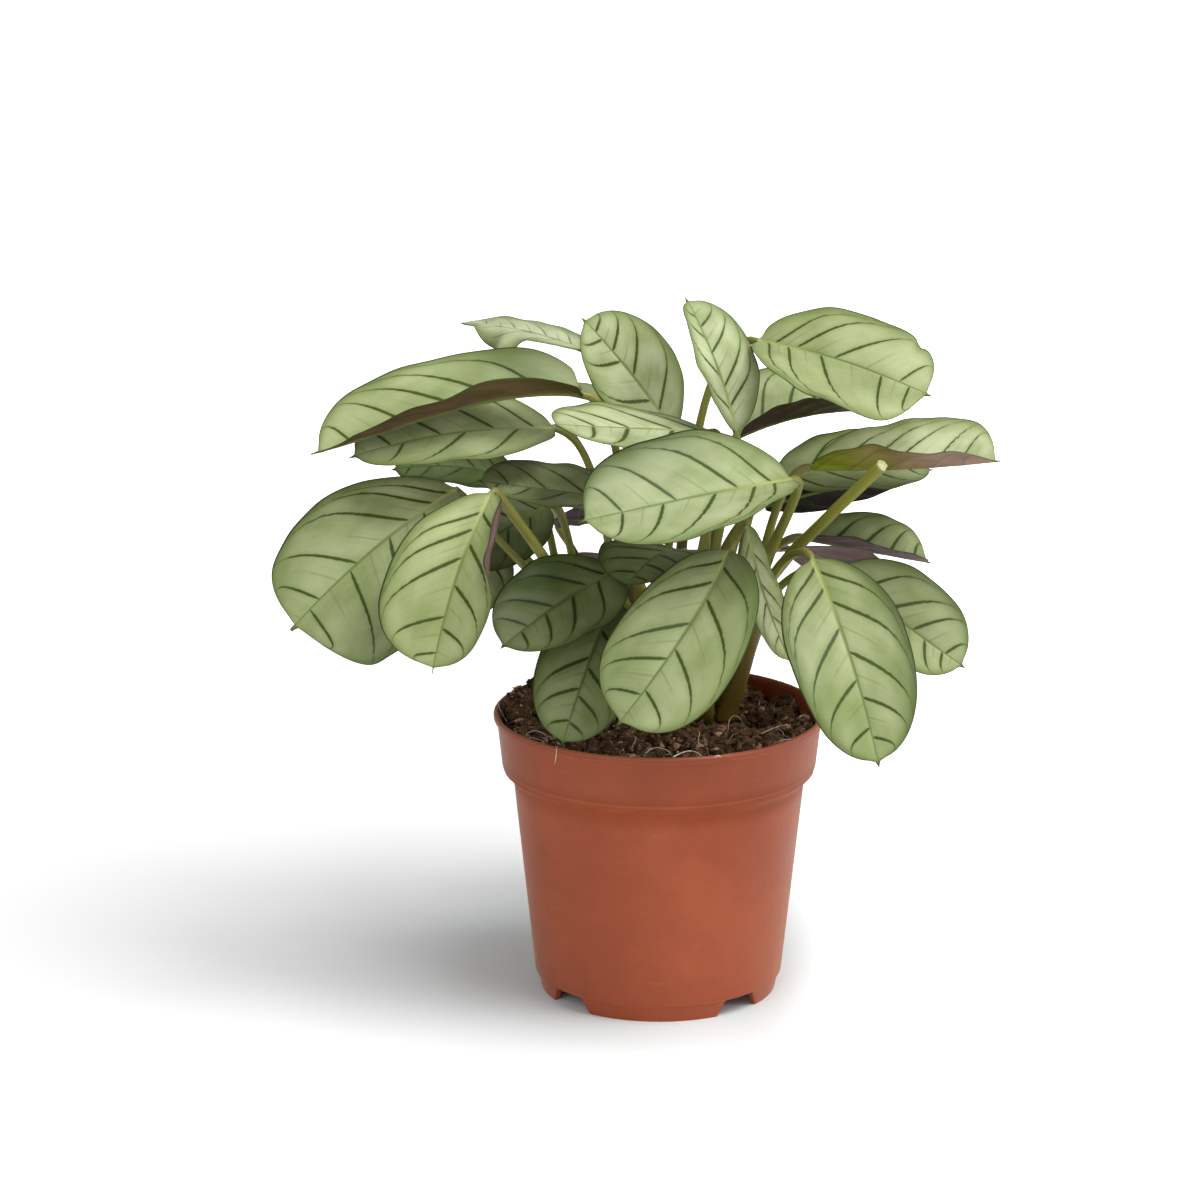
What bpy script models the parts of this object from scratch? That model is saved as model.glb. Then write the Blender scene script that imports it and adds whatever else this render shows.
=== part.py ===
"""Ctenanthe in a 12 cm nursery pot, built in metres with +Z up.

The plant is modelled about the pot's axis in millimetres and moved once, at the
end, so that the origin lies under the middle of the whole object, on the table.
A leaf is one solid: a round stalk that flattens into a thin blade.
"""
import math

import bmesh
import bpy
from mathutils import Matrix, Vector

MM = 0.001
GAP = 0.3                     # space left between pieces that touch

# ---- driving dimensions, in millimetres --------------------------------------
POT_HEIGHT = 104.0
RIM_RADIUS = 60.0
COLLAR_TOP_RADIUS = 58.8
COLLAR_LOW_RADIUS = 57.0
COLLAR_LOW = 86.0             # where the collar starts to turn in
BODY_TOP_RADIUS = 53.0
BODY_TOP = 80.0
BODY_LOW_RADIUS = 45.2
FOOT_HEIGHT = 6.0
FOOT_TOP_RADIUS = 44.2
FOOT_LOW_RADIUS = 43.0
FOOT_WIDTH = 2.4              # radial width of the foot ring
WALL = 1.2
FLOOR = 8.0                   # height of the pot's inner floor
FOOT_COUNT = 4
FOOT_TURN = -93.5             # direction of the front foot, degrees from +X
NOTCH_TOP = 6.5               # half width of a foot notch at its top
NOTCH_LOW = 9.5               # and at the table
DRAIN_RADIUS = 4.0
DRAIN_RING = 30.0
POT_SEGMENTS = 64

SOIL_TOP = 98.0
SOIL_FLAT_RADIUS = 50.0
SOIL_EDGE_DROP = 1.5
SOIL_SEGMENTS = 48

STALK_LOW = 1.6               # stalk radius at the soil
STALK_TOP = 1.1               # and at the blade
STALK_STEPS = 7
LEAN = 0.15                   # how much a stalk leans before it rises
BLADE_THICKNESS = 0.6
BLADE_STEPS = 8
BLADE_ACROSS = 4              # strips across the blade
SPIKE_START = 0.93
SPIKE_SHARE = 0.13
BLUNT = 2.4
SHOULDER = 0.66
BODY_SHARE = 0.965            # share of the blade before its drawn-out tip

SHOOT_RADII = (4.0, 3.4, 3.3, 3.8, 5.0)
SHOOT_PATH = ((24, 8, SOIL_TOP + GAP), (28.5, 5, 112), (32, 3, 126), (36, 0, 142), (38, -2, 153))
CUT_STALK = ((40.2, 0, 153 + GAP), (48, -5, 165), (62, -21, 184), (77, -38, 204))
CUT_RADIUS = 2.2
TUBE_SIDES = 10

GROUND = SOIL_TOP + GAP       # where a stalk starts
CROWN = 153 + GAP             # where a stalk on the main shoot starts

# Each leaf: the point where stalk meets blade, the blade's tip, its width, where
# its upper side faces (turn and tilt, degrees), and the foot of its stalk.
# rise and reach say how far the stalk goes up before it bends, and how far it runs
# in line with the blade. bow, sway, fold, curl and twist shape the blade; widest, lop,
# slim (its v < 0 side), blunt and spike shape its outline.
LEAVES = {
    "leaf_01": dict(base=(-27, -5, 222), tip=(-123, -25, 205), width=45, face=(-95, 80), bow=0.05,
                    skew=-0.8, fold=(52, 20), fold_left=(46, 62), twist=-20, widest=0.5, shoulder=0.42,
                    blunt=3.2, slim=0.5, root=(-8, 26), rise=70, reach=14),
    "leaf_02": dict(base=(-37, 6, 207), tip=(-110, -18, 202), width=44, face=(-90, 66), bow=0.06,
                    fold=(10, 10), root=(-12, 20), rise=60, reach=16),
    "leaf_03": dict(base=(-27, 44, 228), tip=(-73, 74, 232), width=28, face=(-90, 90), bow=0.04,
                    fold=(4, 4), widest=0.42, root=(2, 34), rise=80, reach=20),
    "leaf_04": dict(base=(5, 28, 200), tip=(-28, 9, 247), width=36, face=(-75, 32), bow=0.06, fold=(10, 10),
                    root=(-1, 24), rise=50, reach=14),
    "leaf_05": dict(base=(18, -2, 208), tip=(-38, -40, 219), width=42, face=(-92, 74), root=(8, 14),
                    rise=60, reach=14),
    "leaf_06": dict(base=(46, -26, 196), tip=(-29, -72, 192), width=49, face=(-95, 52), bow=0.06,
                    sway=-0.04, fold=(35, 8), widest=0.53, blunt=3.4, root=(36.4, -4.6, CROWN), rise=14,
                    reach=12),
    "leaf_07": dict(base=(8, -6, 165), tip=(-12, -38, 160), width=40, face=(-120, 60), bow=0.12,
                    fold=(8, 8), root=(4, 9), rise=40, reach=14),
    "leaf_08": dict(base=(-15, -20, 162), tip=(-56, -60, 144), width=38, face=(-100, 44), bow=0.05,
                    fold=(8, 8), root=(0, 14), rise=40, reach=14),
    "leaf_09": dict(base=(24, -35, 173), tip=(-16, -85, 123), width=49, face=(-85, 40), bow=0.12,
                    sway=-0.05, fold=(8, 8), fold_left=(20, 10), widest=0.62, blunt=2.9, lop=0.86,
                    slim=0.97, root=(14, 4), rise=50, reach=20),
    "leaf_10": dict(base=(-17, -12, 149), tip=(-35, -52, 106), width=35, face=(-90, 30), bow=0.10,
                    fold=(8, 8), widest=0.54, root=(-4, 9), rise=30, reach=16),
    "leaf_11": dict(base=(31, -17, 177), tip=(46, -41, 133), width=18, face=(-150, 24), bow=0.10,
                    sway=-0.05, fold=(5, 5), root=(18, 3), rise=50, reach=12),
    "leaf_12": dict(base=(53, -32, 169), tip=(75, -78, 106), width=43, face=(-85, 25), bow=0.10, sway=-0.01,
                    fold=(6, 6), root=(40.2, -4.2, CROWN), rise=10, reach=8),
    "leaf_13": dict(base=(62, -2, 156), tip=(109, -18, 125), width=40, face=(-75, 42), fold=(14, 14),
                    root=(24, 18), rise=40, reach=14),
    "leaf_14": dict(base=(53, 12, 165.5), tip=(99, 20, 154), width=35, face=(-90, 82), fold=(42, 24),
                    widest=0.62, blunt=4.2, spike=0.02, lop=0.7, slim=1.0, root=(19, 22), rise=40,
                    reach=14),
    "leaf_15": dict(base=(54, 2, 194), tip=(120, -18, 201), width=45, face=(-90, 84), bow=-0.02,
                    fold=(42, 26), widest=0.56, blunt=4.2, lop=1.12, slim=1.0, root=(35.6, -0.2, CROWN),
                    rise=16, reach=10),
    "leaf_16": dict(base=(42, 20, 185), tip=(100, 30, 188), width=44, face=(-90, 73), bow=0.04, fold=(8, 8),
                    root=(26, 24), rise=60, reach=10),
    "leaf_17": dict(base=(39, 43, 170), tip=(103, 66, 178), width=46, face=(90, 46), bow=0.02, fold=(8, 8),
                    root=(10, 34), rise=40, reach=14),
    "leaf_18": dict(base=(29, 30, 199), tip=(72, 50, 204), width=46, face=(-90, 88), bow=0.05,
                    fold=(54, 26), lop=0.62, slim=1.0, root=(15, 30), rise=60, reach=14),
    "leaf_19": dict(base=(35, 17, 237), tip=(95, -17, 224), width=50, face=(-80, 52), bow=0.05,
                    fold=(30, 4), blunt=6.0, lop=1.1, slim=0.8, root=(5, 29), rise=90, reach=24),
    "leaf_20": dict(base=(27, -4, 208), tip=(9, 10, 254), width=29, face=(-45, 15), bow=0.05, fold=(20, 20),
                    lop=1.07, root=(14, 16), rise=60, reach=10),
    "leaf_21": dict(base=(-72, -6, 188), tip=(-130, -40, 145), width=66, face=(-110, 30), bow=0.08,
                    fold=(4, 4), widest=0.58, lop=0.84, blunt=3.3, spike=0.02, root=(-16, 16), rise=40,
                    reach=30, heading=(-0.5, -0.1, 0.85)),
    "leaf_22": dict(base=(-59, -36, 194), tip=(-79, -78, 140), width=50, face=(-105, 25), bow=0.08,
                    sway=0.01, fold=(5, 5), fold_left=(15, 15), curl_left=(70, 10), widest=0.62, lop=0.98,
                    slim=0.8, blunt=2.6, spike=0.02, root=(-6, 3), rise=24, reach=4),
    "leaf_23": dict(base=(-51, 48, 178), tip=(-98, 40, 184), width=36, face=(-90, 70), bow=0.08,
                    fold=(10, 10), root=(-14, 30), rise=20, reach=20, lean=0.8),
    "leaf_24": dict(base=(-9, -5, 183), tip=(-65, -14, 193), width=35, face=(-92, 74), fold=(8, 8),
                    root=(-2, 19), rise=50, reach=12),
    "leaf_25": dict(base=(-40, 26, 174), tip=(-74, 8, 156), width=32, face=(-90, 45), bow=0.06,
                    fold=(10, 10), root=(-16, 22), rise=20, reach=12, lean=0.6),
    "leaf_26": dict(base=(-59, 38, 156), tip=(-75, 26, 134), width=30, face=(-100, 30), bow=0.10,
                    fold=(10, 10), root=(-23, 28), rise=30, reach=12),
    "leaf_27": dict(base=(-13, 52, 164), tip=(-39, 40, 165), width=28, face=(90, 56), fold=(6, 6),
                    root=(-7, 33), rise=30, reach=12, heading=(-0.6, 0.2, 0.75)),
    "leaf_28": dict(base=(8, 52, 186), tip=(-14, 112, 142), width=44, face=(110, 55), bow=0.10, fold=(8, 8),
                    root=(6, 40), rise=60, reach=16),
    "leaf_29": dict(base=(44, 48, 152), tip=(82, 98, 112), width=42, face=(60, 40), bow=0.12, fold=(8, 8),
                    root=(20, 34), rise=40, reach=14),
    "leaf_30": dict(base=(-8, 62, 146), tip=(-28, 110, 104), width=44, face=(110, 40), bow=0.12,
                    fold=(8, 8), root=(-8, 41), rise=40, reach=14, heading=(0, 0.5, 0.85)),
    "leaf_31": dict(base=(-22, 60, 206), tip=(-78, 98, 188), width=42, face=(130, 65), bow=0.10,
                    fold=(8, 8), root=(2, 45), rise=70, reach=16),
    "leaf_32": dict(base=(30, 58, 170), tip=(72, 108, 160), width=44, face=(60, 70), bow=0.10, fold=(8, 8),
                    root=(14, 41), rise=50, reach=16),
    "leaf_33": dict(base=(-38, 66, 158), tip=(-92, 100, 140), width=44, face=(140, 70), bow=0.10,
                    fold=(8, 8), root=(-17, 42), rise=40, reach=16, heading=(-0.5, 0.3, 0.8)),
}


# ---- small helpers -----------------------------------------------------------
def clear_scene():
    for old in list(bpy.data.objects):
        bpy.data.objects.remove(old, do_unlink=True)


def finish_material(name, colour, roughness):
    material = bpy.data.materials.new(name)
    material.use_nodes = True
    shader = material.node_tree.nodes["Principled BSDF"]
    shader.inputs["Base Color"].default_value = (*colour, 1.0)
    shader.inputs["Roughness"].default_value = roughness
    shader.inputs["Metallic"].default_value = 0.0
    material.diffuse_color = (*colour, 1.0)
    return material


def solid_object(name, shape, material, smooth_angle=35.0):
    """Turn a bmesh measured in millimetres from the pot's axis into an object."""
    for vertex in shape.verts:
        vertex.co *= MM
    bmesh.ops.recalc_face_normals(shape, faces=shape.faces)
    mesh = bpy.data.meshes.new(name)
    shape.to_mesh(mesh)
    shape.free()
    mesh.materials.append(material)
    mesh.shade_smooth()
    mesh.set_sharp_from_angle(angle=math.radians(smooth_angle))
    thing = bpy.data.objects.new(name, mesh)
    bpy.context.collection.objects.link(thing)
    return thing


def centre_on_origin():
    """Move everything so that the origin lies under the middle of the whole object."""
    meshes = [thing.data for thing in bpy.data.objects if thing.type == "MESH"]
    corners = [vertex.co for thing in bpy.data.objects if not thing.hide_render
               for vertex in thing.data.vertices]
    middle = [(min(c[k] for c in corners) + max(c[k] for c in corners)) / 2.0 for k in range(2)]
    for mesh in meshes:
        mesh.transform(Matrix.Translation((-middle[0], -middle[1], 0.0)))


def ring_of(shape, points):
    return [shape.verts.new(point) for point in points]


def flatten(ring, height):
    for vertex in ring:
        vertex.co.z = height


def skin(shape, first, second):
    """Close the band between two rings with the same number of points."""
    count = len(first)
    for i in range(count):
        j = (i + 1) % count
        shape.faces.new((first[i], first[j], second[j], second[i]))


def cone(shape, ring, point):
    apex = shape.verts.new(point)
    for i, vertex in enumerate(ring):
        shape.faces.new((vertex, ring[(i + 1) % len(ring)], apex))


def turned(shape, profile, segments):
    """Turn a closed profile of (radius, height) about the pot's axis."""
    rings = []
    for radius, height in profile:
        if radius == 0.0:
            rings.append(shape.verts.new((0.0, 0.0, height)))
            continue
        rings.append(ring_of(shape, [(radius * math.cos(a), radius * math.sin(a), height)
                                     for a in (2 * math.pi * i / segments for i in range(segments))]))
    for i, ring in enumerate(rings):
        after = rings[(i + 1) % len(rings)]
        if isinstance(ring, list) and isinstance(after, list):
            skin(shape, ring, after)
        elif isinstance(ring, list):
            for k, vertex in enumerate(ring):
                shape.faces.new((vertex, ring[(k + 1) % segments], after))
        elif isinstance(after, list):
            for k, vertex in enumerate(after):
                shape.faces.new((ring, vertex, after[(k + 1) % segments]))


def curve_point(controls, t):
    """A point on the cubic curve through four controls."""
    a, b, c, d = controls
    s = 1.0 - t
    return a * s ** 3 + b * (3 * s * s * t) + c * (3 * s * t * t) + d * t ** 3


def carried_frames(path, side):
    """Carry a sideways direction back along a path, from its last point to its first."""
    frames = []
    for i in range(len(path) - 1, -1, -1):
        along = (path[min(i + 1, len(path) - 1)] - path[max(i - 1, 0)]).normalized()
        side = (side - along * side.dot(along)).normalized()
        frames.append((side, side.cross(along)))
    frames.reverse()
    return frames


# ---- pot and soil ------------------------------------------------------------
def inner_radius(height):
    """Radius of the pot's inner wall at a height."""
    if height >= COLLAR_LOW:
        share = (height - COLLAR_LOW) / (POT_HEIGHT - COLLAR_LOW)
        return COLLAR_LOW_RADIUS - WALL + share * (COLLAR_TOP_RADIUS - COLLAR_LOW_RADIUS)
    if height >= BODY_TOP:
        share = (height - BODY_TOP) / (COLLAR_LOW - BODY_TOP)
        return BODY_TOP_RADIUS - WALL + share * (COLLAR_LOW_RADIUS - BODY_TOP_RADIUS)
    share = (height - FOOT_HEIGHT) / (BODY_TOP - FOOT_HEIGHT)
    return BODY_LOW_RADIUS - WALL + share * (BODY_TOP_RADIUS - BODY_LOW_RADIUS)


def pot_profile():
    lip = 2.0
    outside = [(FOOT_LOW_RADIUS, 0.0), (FOOT_TOP_RADIUS, FOOT_HEIGHT), (BODY_LOW_RADIUS, FOOT_HEIGHT + 0.6),
               (BODY_TOP_RADIUS, BODY_TOP)]
    turn_in = COLLAR_LOW_RADIUS - BODY_TOP_RADIUS
    for degrees in (-60, -30, 0):
        a = math.radians(degrees)
        outside.append((BODY_TOP_RADIUS + turn_in * math.cos(a), BODY_TOP + 5.0 + turn_in * math.sin(a)))
    outside += [(COLLAR_TOP_RADIUS, POT_HEIGHT - lip - 0.6), (RIM_RADIUS, POT_HEIGHT - lip),
                (RIM_RADIUS, POT_HEIGHT - 0.5), (RIM_RADIUS - 0.5, POT_HEIGHT),
                (RIM_RADIUS - 1.4, POT_HEIGHT)]
    inside = [(inner_radius(POT_HEIGHT - 1.5), POT_HEIGHT - 1.5), (inner_radius(COLLAR_LOW), COLLAR_LOW),
              (inner_radius(BODY_TOP), BODY_TOP), (inner_radius(FLOOR), FLOOR), (0.0, FLOOR),
              (0.0, FLOOR - WALL), (FOOT_TOP_RADIUS - FOOT_WIDTH, FLOOR - WALL),
              (FOOT_LOW_RADIUS - FOOT_WIDTH, 0.0)]
    return outside + inside


def notch_cutter():
    """Four slanted notches between the feet and five drain holes, as one set of cutting bodies."""
    shape = bmesh.new()
    for i in range(FOOT_COUNT):
        a = math.radians(FOOT_TURN + 360.0 * (i + 0.5) / FOOT_COUNT)
        out = Vector((math.cos(a), math.sin(a), 0.0))
        across = Vector((-out.y, out.x, 0.0))
        sides = []
        for radius in (FOOT_LOW_RADIUS - 8.0, FOOT_TOP_RADIUS + 6.0):
            slope = (NOTCH_LOW - NOTCH_TOP) / FOOT_HEIGHT
            low = NOTCH_LOW + slope * 2.0
            sides.append(ring_of(shape, [out * radius + across * x + Vector((0, 0, z))
                                         for x, z in ((-low, -2.0), (low, -2.0), (NOTCH_TOP, FOOT_HEIGHT),
                                                      (-NOTCH_TOP, FOOT_HEIGHT))]))
        skin(shape, sides[0], sides[1])
        shape.faces.new(sides[0])
        shape.faces.new(sides[1])
    places = [(0.0, 0.0)]
    for i in range(FOOT_COUNT):
        a = math.radians(FOOT_TURN + 360.0 * i / FOOT_COUNT)
        places.append((DRAIN_RING * math.cos(a), DRAIN_RING * math.sin(a)))
    for x, y in places:
        rings = []
        for height in (FOOT_HEIGHT + 0.3, FLOOR + 2.0):
            angles = [math.pi * k / 6 for k in range(12)]
            rings.append(ring_of(shape, [(x + DRAIN_RADIUS * math.cos(b), y + DRAIN_RADIUS * math.sin(b),
                                          height) for b in angles]))
        skin(shape, rings[0], rings[1])
        shape.faces.new(rings[0])
        shape.faces.new(rings[1])
    return shape


def build_pot():
    shape = bmesh.new()
    turned(shape, pot_profile(), POT_SEGMENTS)
    pot = solid_object("pot", shape, finish_material("terracotta_plastic", (0.48, 0.13, 0.06), 0.45))
    cutter = solid_object("notch_cutter", notch_cutter(), pot.data.materials[0])
    cutter.hide_render = True
    cutter.display_type = "WIRE"
    cut = pot.modifiers.new("notches", "BOOLEAN")
    cut.operation = "DIFFERENCE"
    cut.object = cutter


def build_soil():
    def edge(height):
        return inner_radius(height) - GAP
    low = FLOOR + GAP
    rim = SOIL_TOP - SOIL_EDGE_DROP
    profile = [(0.0, low), (edge(low) - 0.1, low), (edge(BODY_TOP), BODY_TOP), (edge(COLLAR_LOW), COLLAR_LOW),
               (edge(rim), rim), (SOIL_FLAT_RADIUS, SOIL_TOP), (SOIL_FLAT_RADIUS / 2, SOIL_TOP),
               (0.0, SOIL_TOP)]
    shape = bmesh.new()
    turned(shape, profile, SOIL_SEGMENTS)
    solid_object("soil", shape, finish_material("potting_soil", (0.05, 0.03, 0.02), 0.95))


# ---- leaves ------------------------------------------------------------------
def facing(turn, tilt):
    turn, tilt = math.radians(turn), math.radians(tilt)
    return Vector((math.cos(turn) * math.cos(tilt), math.sin(turn) * math.cos(tilt), math.sin(tilt)))


def half_width_share(t, leaf):
    """Half width of a blade at t along it: rounded at the stalk, blunt with a short spike at the tip."""
    widest = leaf.get("widest", 0.46)
    e, m = t / BODY_SHARE, widest / BODY_SHARE
    body = 0.0
    if e < m:
        body = (1.0 - (1.0 - e / m) ** 2) ** leaf.get("shoulder", SHOULDER)
    elif e < 1.0:
        body = (1.0 - ((e - m) / (1.0 - m)) ** leaf.get("blunt", BLUNT)) ** 0.5
    spike = 0.0
    if t > 0.5:
        spike = leaf.get("spike", SPIKE_SHARE) * min(1.0, (1.0 - t) / (1.0 - SPIKE_START)) ** 1.3
    return (body ** 3 + spike ** 3) ** (1.0 / 3.0)


class Blade:
    """The middle surface of one leaf blade; t runs from stalk to tip, v from -1 to 1 across."""

    def __init__(self, leaf):
        self.leaf = leaf
        self.base, self.tip = Vector(leaf["base"]), Vector(leaf["tip"])
        run = self.tip - self.base
        self.length = run.length
        self.along = run.normalized()
        up = facing(*leaf["face"])
        self.up = (up - self.along * up.dot(self.along)).normalized()
        self.side = self.along.cross(self.up)

    def rib(self, t):
        leaf = self.leaf
        arc = 4.0 * t * (1.0 - t) * self.length
        lift = arc * leaf.get("bow", 0.0) * (1.0 + leaf.get("skew", 0.0) * (2.0 * t - 1.0))
        return (self.base + self.along * (self.length * t) + self.up * lift
                + self.side * (arc * leaf.get("sway", 0.0)))

    def frame(self, t):
        step = 0.001
        along = (self.rib(min(1.0, t + step)) - self.rib(max(0.0, t - step))).normalized()
        up = (self.up - along * self.up.dot(along)).normalized()
        side = along.cross(up)
        turn = math.radians(self.leaf.get("twist", 0.0)) * (t - 0.5)
        return (side * math.cos(turn) - up * math.sin(turn), up * math.cos(turn) + side * math.sin(turn))

    def amount(self, key, t, right):
        start, end = self.leaf.get(key, (0.0, 0.0))
        if not right:
            start, end = self.leaf.get(key + "_left", (start, end))
        return math.radians(start + (end - start) * t)

    def point(self, t, v):
        """The surface point and its normal."""
        leaf = self.leaf
        side, up = self.frame(t)
        half = leaf["width"] / 2.0
        lop = leaf.get("lop", 1.0)
        reach = abs(v) * half * half_width_share(t, leaf) * (lop if v > 0 else leaf.get("slim", 2.0 - lop))
        fold, curl = self.amount("fold", t, v > 0), self.amount("curl", t, v > 0) / half
        if abs(curl) < 1e-5:
            across, rise = reach * math.cos(fold), reach * math.sin(fold)
        else:
            across = (math.sin(fold + curl * reach) - math.sin(fold)) / curl
            rise = (math.cos(fold) - math.cos(fold + curl * reach)) / curl
        hand = 1.0 if v > 0 else -1.0
        lean = (fold + curl * reach) if v else 0.0
        normal = up * math.cos(lean) - side * (hand * math.sin(lean))
        return self.rib(t) + side * (hand * across) + up * rise, normal


def stalk_path(blade, leaf):
    """Points along a leaf's stalk, from its foot to the blade."""
    foot = Vector(leaf["root"] if len(leaf["root"]) == 3 else (*leaf["root"], GROUND))
    heading = Vector(leaf.get("heading", blade.rib(0.02) - blade.base)).normalized()
    offset = blade.base - foot
    lean = leaf.get("lean", LEAN)
    first = foot + Vector((offset.x * lean, offset.y * lean, leaf["rise"]))
    controls = (foot, first, blade.base - heading * leaf["reach"], blade.base)
    return [curve_point(controls, i / STALK_STEPS) for i in range(STALK_STEPS)]


def build_leaf(name, leaf, material):
    blade = Blade(leaf)
    shape = bmesh.new()
    path = stalk_path(blade, leaf)
    frames = carried_frames(path + [blade.base], blade.frame(0.0)[0])
    corners = 2 * BLADE_ACROSS
    rings = []
    for i, (middle, (side, up)) in enumerate(zip(path, frames)):
        radius = STALK_LOW + (STALK_TOP - STALK_LOW) * i / STALK_STEPS
        rings.append(ring_of(shape, [middle + (side * -math.cos(a) + up * math.sin(a)) * radius
                                     for a in (2 * math.pi * k / corners for k in range(corners))]))
    for i in range(1, BLADE_STEPS):
        t = 0.5 - 0.5 * math.cos(math.pi * i / BLADE_STEPS)
        points = []
        for k in range(corners):
            upper = k <= BLADE_ACROSS
            v = -1.0 + 2.0 * (k if upper else corners - k) / BLADE_ACROSS
            point, normal = blade.point(t, v)
            if abs(v) < 1.0:
                point = point + normal * (BLADE_THICKNESS / 2 if upper else -BLADE_THICKNESS / 2)
            points.append(point)
        rings.append(ring_of(shape, points))
    flatten(rings[0], path[0].z)
    for first, second in zip(rings, rings[1:]):
        skin(shape, first, second)
    shape.faces.new(rings[0])
    cone(shape, rings[-1], blade.tip)
    bmesh.ops.triangulate(shape, faces=shape.faces)
    solid_object(name, shape, material, 60.0)


def build_tube(name, path, radii, material, flat_top=False):
    """A shoot or a cut stalk: a round tube with closed ends."""
    shape = bmesh.new()
    points = [Vector(point) for point in path]
    frames = carried_frames(points, Vector((0.0, 1.0, 0.0)))
    rings = []
    for point, (side, up), radius in zip(points, frames, radii):
        rings.append(ring_of(shape, [point + (side * math.cos(a) + up * math.sin(a)) * radius
                                     for a in (2 * math.pi * k / TUBE_SIDES for k in range(TUBE_SIDES))]))
    flatten(rings[0], points[0].z)
    if flat_top:
        flatten(rings[-1], points[-1].z)
    for first, second in zip(rings, rings[1:]):
        skin(shape, first, second)
    shape.faces.new(rings[0])
    shape.faces.new(rings[-1])
    bmesh.ops.triangulate(shape, faces=shape.faces)
    solid_object(name, shape, material, 60.0)


def main():
    clear_scene()
    build_pot()
    build_soil()
    green_stalk = finish_material("stalk_green", (0.20, 0.22, 0.05), 0.5)
    build_tube("main_shoot", SHOOT_PATH, SHOOT_RADII, green_stalk, flat_top=True)
    build_tube("cut_stalk", CUT_STALK, [CUT_RADIUS] * len(CUT_STALK), green_stalk.copy())
    for name, leaf in LEAVES.items():
        build_leaf(name, leaf, finish_material(name + "_green", (0.42, 0.55, 0.28), 0.5))
    centre_on_origin()


main()
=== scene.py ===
"""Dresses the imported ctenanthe: leaves, stalks, soil and pot, with a plain studio around them.

Leaves are worked out in millimetres from the pot's axis, with the same values as the
solids they stand for, and then put into the frame in metres.
"""
import math
import random

import bmesh
import bpy
import numpy as np
from bpy.props import FloatProperty, FloatVectorProperty, IntProperty, PointerProperty
from mathutils import Matrix, Vector, noise


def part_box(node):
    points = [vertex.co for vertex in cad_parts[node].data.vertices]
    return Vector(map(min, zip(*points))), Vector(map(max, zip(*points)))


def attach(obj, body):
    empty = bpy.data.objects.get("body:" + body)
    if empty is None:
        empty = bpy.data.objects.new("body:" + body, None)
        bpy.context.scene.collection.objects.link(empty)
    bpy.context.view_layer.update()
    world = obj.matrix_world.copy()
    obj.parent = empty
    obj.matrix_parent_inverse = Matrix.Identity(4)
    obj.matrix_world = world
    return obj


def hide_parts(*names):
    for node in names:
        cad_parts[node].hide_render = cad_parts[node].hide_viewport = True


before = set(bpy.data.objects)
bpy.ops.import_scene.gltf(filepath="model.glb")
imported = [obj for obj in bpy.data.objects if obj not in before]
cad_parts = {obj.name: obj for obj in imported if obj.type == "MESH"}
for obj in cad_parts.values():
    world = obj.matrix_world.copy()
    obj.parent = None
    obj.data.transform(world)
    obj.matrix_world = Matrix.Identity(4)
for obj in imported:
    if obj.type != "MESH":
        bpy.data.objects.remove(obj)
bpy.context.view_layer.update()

bl_info = {
    "name": "Potted Ctenanthe",
    "version": (1, 0, 0),
    "blender": (4, 5, 0),
    "location": "View3D > Sidebar > Ctenanthe",
    "description": "Grows a ctenanthe with banded leaves in a nursery pot",
    "category": "Add Mesh",
}

MM = 0.001

POT_BOX = [Vector(corner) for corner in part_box("pot")]
POT_AXIS = Vector(((POT_BOX[0].x + POT_BOX[1].x) / 2, (POT_BOX[0].y + POT_BOX[1].y) / 2, 0.0))
POT_HEIGHT = POT_BOX[1].z / MM
RIM_RADIUS = (POT_BOX[1].x - POT_BOX[0].x) / 2 / MM
COLLAR_EDGE = 85.0            # height of the collar's lower edge
COLLAR_NECK = 80.0            # height where the collar meets the body
COLLAR_SHADE = 81.5           # height of the middle of the painted shade under the collar
SOIL_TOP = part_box("soil")[1][2] / MM
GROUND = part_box("leaf_01")[0][2] / MM
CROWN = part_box("leaf_06")[0][2] / MM

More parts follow.
